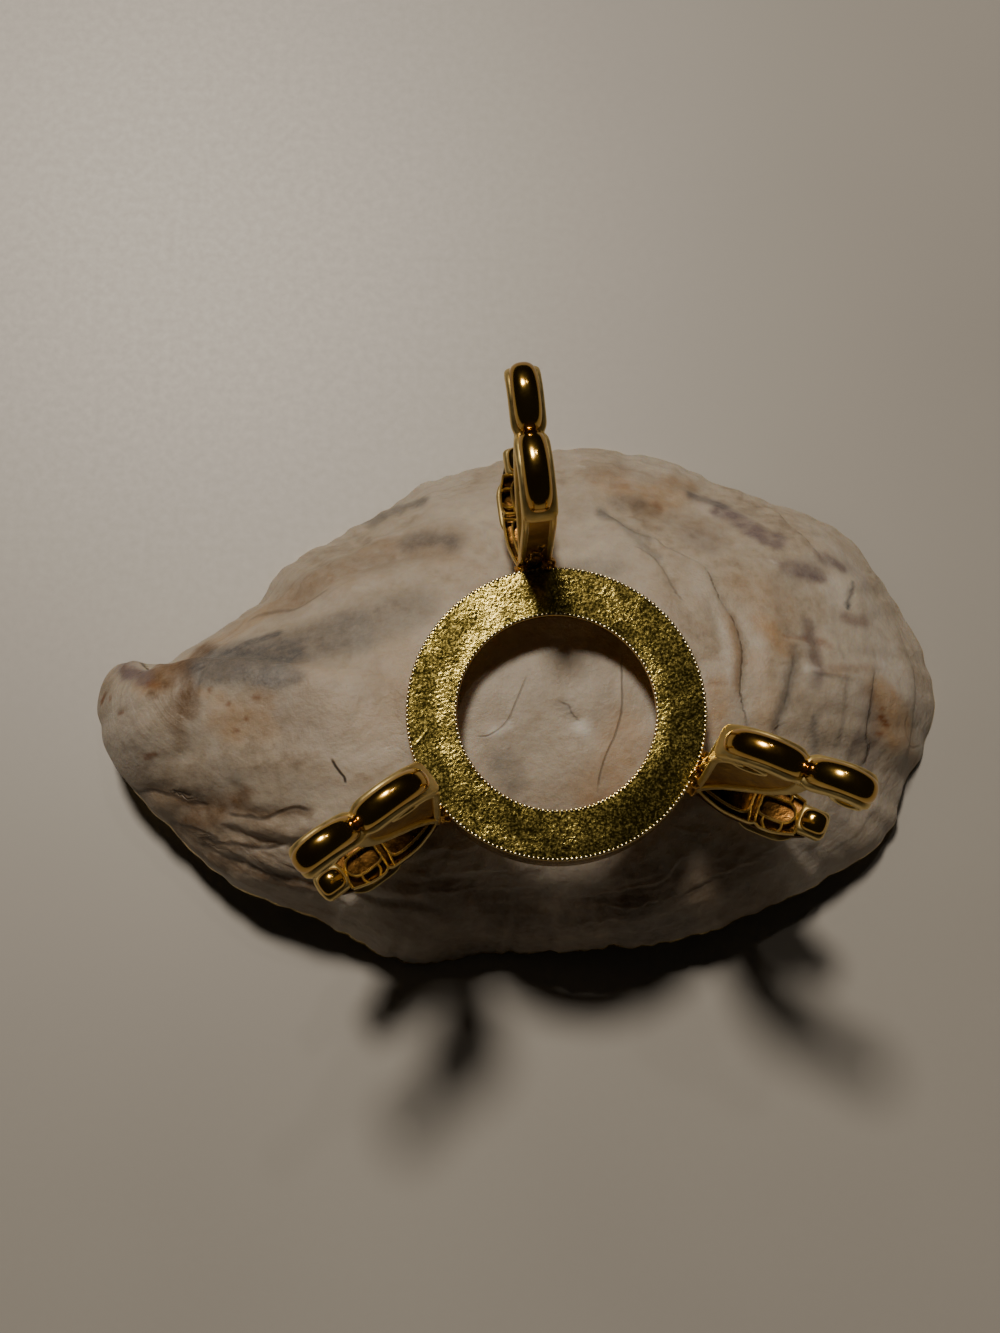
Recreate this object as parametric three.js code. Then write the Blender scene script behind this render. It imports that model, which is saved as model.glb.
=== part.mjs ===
// A cupped oyster valve that lies on its rim, outside up, with a small display stand fixed to its crown.
// The stand is upside down: its ring is seated on the shell and its three scroll legs point up.
// Turned over, the stand carries the shell as a dish. Units are millimetres and +Z is up.
import * as THREE from "three";

// ---- Driving dimensions. Heights are above the table, and plan positions are from the ring's axis.
const crownHeight = 22.6;
const crownThickness = 3.3;
const crown = { x: -2, y: 2 };
const rimWidth = 1.6;
const hinge = { distance: 40, blend: 1.5 }; // the cavity ends at a line this far from the crown
const shoulderRise = 9; // how much the two ends of the dome bulge above its plain curve

// How the dome falls away from the crown. A fuller dome stays high for longer, and a steeper one drops
// faster at the margin. The front, the two ends and the hinge end each add their own share.
const fullness = { all: 1.8, front: 0.45, ends: 0.4, hinge: 0.45 };
const steepness = { all: 1.12, front: 0.5, hinge: 0.3 };
const sectors = 84;
const outerRows = 18;
const innerRows = 14;

const ring = { outer: 16, inner: 10.6, top: 27, wall: 4, lip: 0.7, foot: 0.8, segments: 72 };
const leg = { thickness: 3.8, azimuths: { back: 97.6, left: 217, right: 337.6 }, smoothness: 3 };
// distance from the ring's axis and half width there
const leaf = {
  top: -1.2,
  blend: 1.4,
  halfWidths: [[18, 1.9], [20.6, 2.4], [23.5, 2.6], [26.5, 2.5], [28.2, 2.1], [29.4, 1.6], [33, 1.6]],
};

// The shell's margin, anticlockwise from its right end: x, y and the height of the rim above the table.
// Where the height is 0 the rim touches the table.
const marginPoints = [
  [45.0, 1.0, 0], [47.2, 8.0, 0], [45.5, 14.5, 0.6], [41.5, 21.8, 1.6], [35.5, 29.3, 1.8],
  [26.0, 33.3, 1.2], [20.5, 35.9, 0.5], [14.0, 38.8, 0], [4.5, 40.0, 0], [-4.8, 38.3, 0],
  [-14.8, 35.0, 0.8], [-19.8, 31.5, 0.6], [-27.2, 27.2, 0], [-32.5, 23.5, 0], [-35.5, 18.7, 1.0],
  [-42.4, 13.4, 2.6], [-46.1, 10.6, 3.6], [-48.5, 10.3, 4.0], [-51.2, 9.6, 4.4], [-52.8, 5.5, 4.8],
  [-51.1, 0.2, 5.0], [-47.0, -5.5, 5.3], [-41.0, -11.8, 5.8], [-34.2, -16.8, 5.8], [-27.2, -19.2, 5.0],
  [-21.4, -22.2, 2.2], [-15.0, -24.2, 0], [-8.0, -23.0, 0], [3.0, -22.8, 2.2], [14.6, -21.8, 4.2],
  [25.0, -18.1, 4.4], [36.2, -12.3, 3.0], [40.5, -8.2, 1.6], [43.2, -2.0, 0],
];

// One leg in its own plane: distance from the ring's axis, and height above the ring's top face.
// It runs up the stem, over the heel and toe of the foot, back under the toe, and out along the leaf.
const legOutline = [
  [16.4, -3.8], [16.4, 1.2], [16.8, 7.5], [16.3, 12.8], [17.0, 15.9], [20.3, 18.7], [23.4, 18.7],
  [25.2, 17.4], [28.2, 20.0], [31.2, 19.9], [32.3, 18.0], [30.9, 16.1], [27.6, 16.2], [25.4, 13.4],
  [22.9, 8.4], [20.2, 3.2], [19.2, -1.0], [21.6, -3.4], [25.8, -4.0], [29.0, -3.2], [30.2, -2.0],
  [31.9, -2.2], [32.5, -3.8], [31.3, -5.4], [28.4, -6.2], [24.6, -6.6], [20.8, -6.0], [18.2, -4.8],
];

// ---- The shell
const marginCurve = new THREE.CatmullRomCurve3(
  marginPoints.map(([x, y, z]) => new THREE.Vector3(x - crown.x, y - crown.y, z)),
  true,
  "catmullrom",
  0.5,
);
const marginLine = marginCurve.getPoints(marginPoints.length * 24);
const marginFound = new Map();

// Where the margin lies in a direction from the crown: its distance and its height.
function marginAt(angle) {
  if (!marginFound.has(angle)) marginFound.set(angle, findMargin(angle));
  return marginFound.get(angle);
}

function findMargin(angle) {
  const ray = new THREE.Vector2(Math.cos(angle), Math.sin(angle));
  for (let i = 0; i < marginLine.length - 1; i++) {
    const [a, b] = [marginLine[i], marginLine[i + 1]];
    const sideA = ray.x * a.y - ray.y * a.x;
    const sideB = ray.x * b.y - ray.y * b.x;
    const ahead = ray.x * a.x + ray.y * a.y > 0;
    if (ahead && sideA <= 0 && sideB > 0) {
      const t = sideA / (sideA - sideB);
      const x = a.x + (b.x - a.x) * t;
      const y = a.y + (b.y - a.y) * t;
      return { reach: Math.hypot(x, y), height: Math.max(0, a.z + (b.z - a.z) * t) };
    }
  }
  throw new Error("the margin has a gap");
}

// How much of its height the dome keeps at a share of the way from the crown (0) to the margin (1).
function domeFall(angle, share) {
  const front = (1 - Math.sin(angle)) / 2;
  const ends = Math.cos(angle) ** 2;
  const towardsHinge = Math.max(0, -Math.cos(angle)) ** 2;
  const full = fullness.all + fullness.front * front + fullness.ends * ends + fullness.hinge * towardsHinge;
  const steep = steepness.all + steepness.front * front ** 2 + steepness.hinge * towardsHinge;
  const power = 2 + (full - 2) * share; // 2 at the crown, so that the top is smooth all round
  return (1 - share ** power) ** (1 / steep);
}

// A point of the dome of a given height that reaches a given distance from the crown in one direction.
function domePoint(angle, share, reach, rimHeight, topHeight) {
  const shoulder = shoulderRise * Math.cos(angle) ** 2 * share ** 2 * (1 - share ** 2) ** 2;
  return [
    crown.x + Math.cos(angle) * reach * share,
    crown.y + Math.sin(angle) * reach * share,
    rimHeight + (topHeight - rimHeight) * domeFall(angle, share) + shoulder,
  ];
}

function outerPoint(angle, share) {
  const margin = marginAt(angle);
  return domePoint(angle, share, margin.reach, margin.height, crownHeight);
}

// The cavity stops short of the margin by the rim's width, and at the hinge line beside the beak.
function innerPoint(angle, share) {
  const margin = marginAt(angle);
  const toRim = margin.reach - rimWidth;
  const toHinge = hinge.distance / Math.max(0.05, -Math.cos(angle));
  const reach = -hinge.blend * Math.log(Math.exp(-toRim / hinge.blend) + Math.exp(-toHinge / hinge.blend));
  return domePoint(angle, share, reach, margin.height, crownHeight - crownThickness);
}

// A closed skin: the outside from its pole to the margin, then the rim, then the inside back to its pole.
function shellGeometry() {
  const rows = [];
  for (let row = 1; row <= outerRows; row++) rows.push([outerPoint, spacing(row / outerRows)]);
  for (let row = innerRows; row >= 1; row--) rows.push([innerPoint, spacing(row / innerRows)]);
  const positions = [...outerPoint(0, 0)];
  for (const [pointAt, share] of rows) {
    for (let s = 0; s < sectors; s++) positions.push(...pointAt((2 * Math.PI * s) / sectors, share));
  }
  positions.push(...innerPoint(0, 0));

  const index = [];
  const last = positions.length / 3 - 1;
  const at = (row, s) => 1 + row * sectors + (s % sectors);
  for (let s = 0; s < sectors; s++) {
    index.push(0, at(0, s), at(0, s + 1));
    for (let row = 0; row < rows.length - 1; row++) {
      index.push(at(row, s), at(row + 1, s), at(row + 1, s + 1));
      index.push(at(row, s), at(row + 1, s + 1), at(row, s + 1));
    }
    index.push(last, at(rows.length - 1, s + 1), at(rows.length - 1, s));
  }
  return new THREE.BufferGeometry()
    .setAttribute("position", new THREE.Float32BufferAttribute(positions, 3))
    .setIndex(index);
}

// Rows crowd towards the margin, where the dome falls fastest.
function spacing(share) {
  return Math.sin((share * Math.PI) / 2) ** 0.9;
}

// ---- The stand
// A flat annulus on top, an upright outer wall, and a conical seat under it that the shell's crown enters.
function ringGeometry() {
  const bottom = ring.top - ring.wall;
  const profile = [
    [ring.inner, ring.top - ring.lip],
    [ring.outer - ring.foot, bottom],
    [ring.outer, bottom],
    [ring.outer, ring.top],
    [ring.inner, ring.top],
    [ring.inner, ring.top - ring.lip],
  ].map(([radius, height]) => new THREE.Vector2(radius, height));
  return new THREE.LatheGeometry(profile, ring.segments).rotateX(Math.PI / 2);
}

function legGeometry() {
  const corners = legOutline.map(([radius, height]) => new THREE.Vector2(radius, height));
  const smooth = new THREE.CatmullRomCurve3(
    corners.map((c) => new THREE.Vector3(c.x, c.y, 0)),
    true,
    "centripetal",
  ).getPoints(corners.length * leg.smoothness);
  smooth.pop();
  const shape = new THREE.Shape(smooth.map((p) => new THREE.Vector2(Math.max(p.x, corners[0].x - 0.1), p.y)));
  const geometry = new THREE.ExtrudeGeometry(shape, { depth: leg.thickness, bevelEnabled: false, steps: 1 })
    .translate(0, 0, -leg.thickness / 2)
    .rotateX(Math.PI / 2);
  // The leaf is wider than the web it hangs from, and its end block is narrower.
  const place = geometry.getAttribute("position");
  for (let i = 0; i < place.count; i++) {
    const half = halfWidthOfLeg(place.getX(i), place.getZ(i));
    place.setY(i, Math.sign(place.getY(i)) * half);
  }
  geometry.computeVertexNormals();
  return geometry;
}

function halfWidthOfLeg(radius, height) {
  const web = leg.thickness / 2;
  const inLeaf = THREE.MathUtils.clamp((leaf.top - height) / leaf.blend, 0, 1);
  let wide = leaf.halfWidths[0][1];
  for (let i = 1; i < leaf.halfWidths.length; i++) {
    const [from, start] = leaf.halfWidths[i - 1];
    const [to, end] = leaf.halfWidths[i];
    if (radius > from) wide = THREE.MathUtils.mapLinear(Math.min(radius, to), from, to, start, end);
  }
  return web + (wide - web) * inLeaf;
}

// ---- Materials
const shellWhite = new THREE.MeshStandardMaterial({ color: 0xb9aea2, roughness: 0.55, metalness: 0 });
const gold = new THREE.MeshStandardMaterial({ color: 0xc79a3a, roughness: 0.22, metalness: 1 });

function named(name, geometry, material) {
  const mesh = new THREE.Mesh(geometry, material);
  mesh.name = name;
  return mesh;
}

const dish = new THREE.Group();
dish.add(named("oyster_shell", shellGeometry(), shellWhite));
dish.add(named("stand_ring", ringGeometry(), gold));
for (const [place, azimuth] of Object.entries(leg.azimuths)) {
  const mesh = named(`stand_leg_${place}`, legGeometry(), gold);
  mesh.position.z = ring.top;
  mesh.rotation.z = THREE.MathUtils.degToRad(azimuth);
  dish.add(mesh);
}

// The origin is under the middle of the whole object, on the table.
const middle = new THREE.Box3().setFromObject(dish).getCenter(new THREE.Vector3());
dish.position.set(-middle.x, -middle.y, 0);

const part = new THREE.Group();
part.add(dish);
export default part;
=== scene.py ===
# A cupped oyster valve lying on its rim, with an upturned gold display stand fixed to its crown.
# Shell sizes are in millimetres: plan positions are from the ring's axis, heights are above the table.
import math
import bmesh
import bpy
import numpy as np
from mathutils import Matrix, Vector, noise


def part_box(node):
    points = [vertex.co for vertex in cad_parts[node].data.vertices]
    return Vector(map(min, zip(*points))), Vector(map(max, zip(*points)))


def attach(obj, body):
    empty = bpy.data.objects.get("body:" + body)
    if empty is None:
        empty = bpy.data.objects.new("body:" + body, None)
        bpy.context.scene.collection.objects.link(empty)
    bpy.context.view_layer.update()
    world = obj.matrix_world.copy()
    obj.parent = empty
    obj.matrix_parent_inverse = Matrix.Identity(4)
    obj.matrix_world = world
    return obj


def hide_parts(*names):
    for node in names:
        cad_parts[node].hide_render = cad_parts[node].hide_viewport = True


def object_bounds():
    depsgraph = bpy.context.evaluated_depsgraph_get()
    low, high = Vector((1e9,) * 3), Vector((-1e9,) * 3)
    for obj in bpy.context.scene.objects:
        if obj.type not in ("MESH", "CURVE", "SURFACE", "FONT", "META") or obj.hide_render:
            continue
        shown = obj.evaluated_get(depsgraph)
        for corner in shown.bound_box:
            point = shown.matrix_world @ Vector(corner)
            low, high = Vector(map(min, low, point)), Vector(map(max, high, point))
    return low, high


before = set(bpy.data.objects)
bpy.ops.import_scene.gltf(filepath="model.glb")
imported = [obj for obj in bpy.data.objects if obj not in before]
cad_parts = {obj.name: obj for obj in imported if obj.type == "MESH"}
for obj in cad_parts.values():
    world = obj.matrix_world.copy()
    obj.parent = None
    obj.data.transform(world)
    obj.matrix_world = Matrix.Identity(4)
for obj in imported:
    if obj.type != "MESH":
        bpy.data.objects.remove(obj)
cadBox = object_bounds()
mm = 0.001

ringLow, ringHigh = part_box("stand_ring")
axisX = (ringLow.x + ringHigh.x) / 2 / mm  # the ring's axis, which everything is laid out from
axisY = (ringLow.y + ringHigh.y) / 2 / mm
ringTop = ringHigh.z / mm


# small helpers

def smooth(low, high, value):
    t = np.clip((value - low) / (high - low), 0, 1)
    return t * t * (3 - 2 * t)


def noiseField(points, size, seed, octaves=1):
    # soft noise from -1 to 1, with features about `size` millimetres across
    p = points / size + np.array([seed * 7.13, seed * 3.71, seed * 5.37])
    if octaves == 1:
        return np.array([noise.noise(Vector(q)) for q in p])
    return np.array([noise.fractal(Vector(q), 1.0, 2.0, octaves) for q in p])


def curveThrough(points, steps, closed=False):
    # a Catmull-Rom curve through the given points
    pts = np.array(points, float)
    count = len(pts)
    out = []
    for i in range(count if closed else count - 1):
        if closed:
            a, b, c, d = (pts[(i + k) % count] for k in (-1, 0, 1, 2))
        else:
            b, c = pts[i], pts[i + 1]
            a = pts[i - 1] if i else 2 * b - c
            d = pts[i + 2] if i + 2 < count else 2 * c - b
        for t in np.arange(steps) / steps:
            out.append(0.5 * (2 * b + (c - a) * t + (2 * a - 5 * b + 4 * c - d) * t ** 2
                              + (3 * b - a - 3 * c + d) * t ** 3))
    if not closed:
        out.append(pts[-1])
    return np.array(out)


def meshObject(name, verts, faces):
    mesh = bpy.data.meshes.new(name)
    mesh.from_pydata(np.asarray(verts).tolist(), [], faces)
    mesh.update()
    obj = bpy.data.objects.new(name, mesh)
    bpy.context.scene.collection.objects.link(obj)
    return obj


def smoothShade(obj, degrees=None):
    obj.data.shade_smooth()
    if degrees:
        obj.data.set_sharp_from_angle(angle=math.radians(degrees))


def newMaterial(name):
    mat = bpy.data.materials.new(name)
    mat.use_nodes = True
    nodes = mat.node_tree.nodes
    shader = nodes["Principled BSDF"]
    return mat, nodes, mat.node_tree.links, shader


# the shell

shellSize = {
    "rimWidth": 1.6,
    "crownThickness": 3.3,
    "crown": (-2.0, 2.0),
    "beak": (-46.0, 5.5),  # where growth began
    "hingeDistance": 40.0,  # the cavity ends at a line this far from the crown
    "hingeBlend": 1.5,
    "shoulderRise": 9.0,
    "scar": (17, 8),  # the muscle scar's middle
    "scarShape": (8.5, 5.2, 0.045),  # its half length and half width, and how much it bends
    "outerCells": 264,  # across the outside, and half as many across the inside
    "rimRows": 4,
}
shellSize["crownHeight"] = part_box("oyster_shell")[1].z / mm

# the margin, anticlockwise from the right end: x, y and the rim's height above the table
marginPoints = [
    (45.0, 1.0, 0), (47.2, 8.0, 0), (45.5, 14.5, 0.6), (41.5, 21.8, 1.6), (35.5, 29.3, 1.8),
    (26.0, 33.3, 1.2), (20.5, 35.9, 0.5), (14.0, 38.8, 0), (4.5, 40.0, 0), (-4.8, 38.3, 0),
    (-14.8, 35.0, 0.8), (-19.8, 31.5, 0.6), (-27.2, 27.2, 0), (-32.5, 23.5, 0), (-35.5, 18.7, 1.0),
    (-42.4, 13.4, 2.6), (-46.1, 10.6, 3.6), (-48.5, 10.3, 4.0), (-51.2, 9.6, 4.4), (-52.8, 5.5, 4.8),
    (-51.1, 0.2, 5.0), (-47.0, -5.5, 5.3), (-41.0, -11.8, 5.8), (-34.2, -16.8, 5.8), (-27.2, -19.2, 5.0),
    (-21.4, -22.2, 2.2), (-15.0, -24.2, 0), (-8.0, -23.0, 0), (3.0, -22.8, 2.2), (14.6, -21.8, 4.2),
    (25.0, -18.1, 4.4), (36.2, -12.3, 3.0), (40.5, -8.2, 1.6), (43.2, -2.0, 0),
]

# growth steps: a path on the shell, then the drop across it and how soft it is.
# The side to the right of the path, towards the hinge, is the older and higher layer.
growthSteps = [
    ([(6.0, 27.9), (7.5, 26.3), (8.7, 24.8), (10.2, 23.8), (12.2, 23.3), (13.4, 22.0), (15.9, 20.7),
      (17.1, 19.8), (18.0, 18.2), (18.2, 16.9), (18.9, 15.0), (20.2, 12.6), (20.9, 9.8), (20.8, 7.0),
      (20.5, 4.2), (20.9, 2.0), (21.3, -1.5), (20.6, -6.0)], 0.8, 0.4),
    ([(9.2, 21.7), (10.7, 20.8), (12.1, 19.2), (13.0, 17.4), (13.8, 15.6), (14.8, 13.8)], 0.5, 0.4),
    ([(17.0, 15.6), (17.4, 12.8), (18.2, 10.6), (18.0, 7.0)], 0.35, 0.4),
    ([(25.2, 31.0), (27.2, 30.7), (28.3, 29.4), (28.8, 27.4), (30.0, 25.4), (31.2, 23.6), (33.0, 21.6)],
      0.55, 0.3),
    ([(26.9, 9.6), (26.7, 7.4), (26.2, 5.8), (25.9, 4.2), (25.5, 2.6), (24.6, 0.8), (24.6, -3.0)],
      0.6, 0.5),
    ([(37.6, 10.7), (36.9, 6.6), (36.3, 3.3), (36.1, 1.3), (36.6, -0.5), (36.0, -2.6)], 0.4, 0.25),
    ([(41.8, 17.0), (43.4, 10.0), (42.4, 3.0), (40.6, -3.0)], 0.3, 0.4),
    ([(7.5, 26.1), (9.1, 23.7), (10.8, 21.8), (12.9, 19.6)], 0.2, 0.3),
    ([(32.4, 12.6), (33.4, 8.0), (33.0, 3.0), (32.0, -2.0)], 0.4, 0.8),
    ([(-5.6, 19.4), (-6.6, 21.8), (-7.6, 24.6)], 0.35, 0.3),
]

# folds: a path, then height (negative sinks) and half width
shellFolds = [
    # the crease round the knob and the folds that sweep from it along the front flank
    ([(-41.4, 9.6), (-40.6, 6.0), (-40.4, 2.0), (-40.9, -2.0), (-43.4, -5.0)], -0.3, 1.3),
    ([(-48.5, -3.0), (-45.2, -5.0), (-41.6, -6.6), (-38.6, -8.3), (-34.0, -9.0), (-28.0, -9.6),
      (-23.0, -9.0)], -0.32, 0.8),
    ([(-40.6, -8.6), (-37.2, -7.5), (-33.2, -6.0)], -0.5, 2.3),
    ([(-39.0, -9.8), (-35.5, -11.0), (-31.0, -12.3), (-26.0, -12.9), (-21.0, -13.0), (-15.0, -14.4)],
      -0.4, 0.55),
    ([(-41.0, -9.2), (-36.0, -13.4), (-30.0, -15.4), (-24.0, -17.0), (-16.0, -18.6), (-8.0, -19.2)],
      -0.36, 0.5),
    ([(-37.5, -9.6), (-32.0, -10.9), (-26.5, -11.4), (-20.5, -11.2)], 0.26, 0.9),
    ([(-39.0, -11.4), (-33.0, -13.9), (-27.0, -15.2), (-20.0, -16.0)], 0.26, 0.9),
    ([(-20.0, -17.4), (-10.0, -20.3), (0.0, -20.6), (10.0, -19.4), (20.0, -16.4)], 0.35, 1.3),
    ([(-16.0, -14.8), (-6.0, -17.6), (5.0, -18.0), (15.0, -16.4)], -0.3, 1.4),
    # ridges along the back, from the hinge towards the growing end
    ([(-38.0, 13.0), (-34.0, 15.4), (-28.4, 19.0), (-23.0, 22.0), (-17.9, 24.7), (-10.3, 26.2),
      (-4.0, 28.0)], 0.4, 0.8),
    ([(-36.0, 12.2), (-30.0, 15.6), (-24.0, 18.9), (-19.2, 20.6), (-14.5, 21.2), (-9.0, 20.4)], -0.35, 0.8),
    ([(-33.0, 21.0), (-27.0, 25.0), (-20.0, 28.6), (-12.0, 31.4)], -0.3, 0.7),
    ([(-28.0, 14.4), (-21.0, 17.4), (-14.0, 19.4), (-8.0, 19.2)], 0.3, 0.9),
    # short creases across the growing end
    ([(27.5, 7.1), (31.5, 7.3), (36.0, 7.2)], 0.22, 0.35),
    ([(25.5, 11.2), (28.5, 11.0), (31.5, 10.3)], -0.22, 0.4),
    ([(16.0, 7.6), (17.4, 7.4), (19.0, 7.5)], -0.16, 0.3),
    ([(16.6, 4.8), (17.8, 4.6), (19.2, 4.6)], -0.14, 0.3),
    ([(15.4, 12.0), (16.4, 11.6), (17.2, 10.4)], 0.16, 0.4),
    ([(30.2, 13.4), (30.4, 10.5), (30.1, 7.6)], -0.25, 0.5),
    ([(35.6, 19.3), (35.0, 17.6), (34.7, 16.0)], -0.25, 0.4),
    ([(17.0, 9.6), (18.4, 9.2), (19.4, 9.8)], 0.2, 0.35),
    ([(3.0, 27.0), (9.0, 27.6), (15.0, 27.0), (20.0, 25.0), (23.0, 22.0)], -0.3, 1.1),
    ([(12.0, 33.0), (18.0, 30.4), (23.0, 27.6), (27.0, 22.6)], 0.35, 1.2),
    ([(23.0, 20.0), (24.6, 15.0), (24.4, 10.0), (23.0, 4.0)], 0.3, 1.2),
]

# lumps: place, radius along and across, turn in degrees, height
shellLumps = [
    ((-46.4, 1.4), (4.6, 5.4), 0, 2.1),  # the rounded knob at the hinge end
    ((-48.2, 8.7), (0.9, 0.6), 30, 0.5),  # its small curled beak
    ((-46.2, 8.8), (1.1, 1.2), 0, -1.1),  # the notch behind the beak
    ((-43.2, 9.6), (2.4, 1.6), 30, -0.7),
    ((-35.0, 4.0), (5.0, 4.0), 0, 0.4),
    ((-41.4, -6.4), (1.1, 0.4), -22, -0.22),  # a small pit under the knob
    ((-30.0, -4.5), (6.0, 2.4), -8, 0.6),
    ((34.0, 22.0), (7.0, 4.0), -50, 0.5),
    ((40.0, 3.0), (3.0, 7.0), 0, 0.45),
    ((36.0, -7.0), (5.0, 3.0), 35, -0.5),
    ((25.0, 12.0), (3.0, 8.0), 15, 0.3),
    ((3.0, -16.0), (9.0, 2.6), 0, 0.3),
    ((2.3, 0.2), (1.3, 1.0), 20, -0.22),  # a chip in the crown
    ((-6.6, -1.2), (1.5, 0.7), 12, 0.22),  # a flake standing proud of it
]

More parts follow.
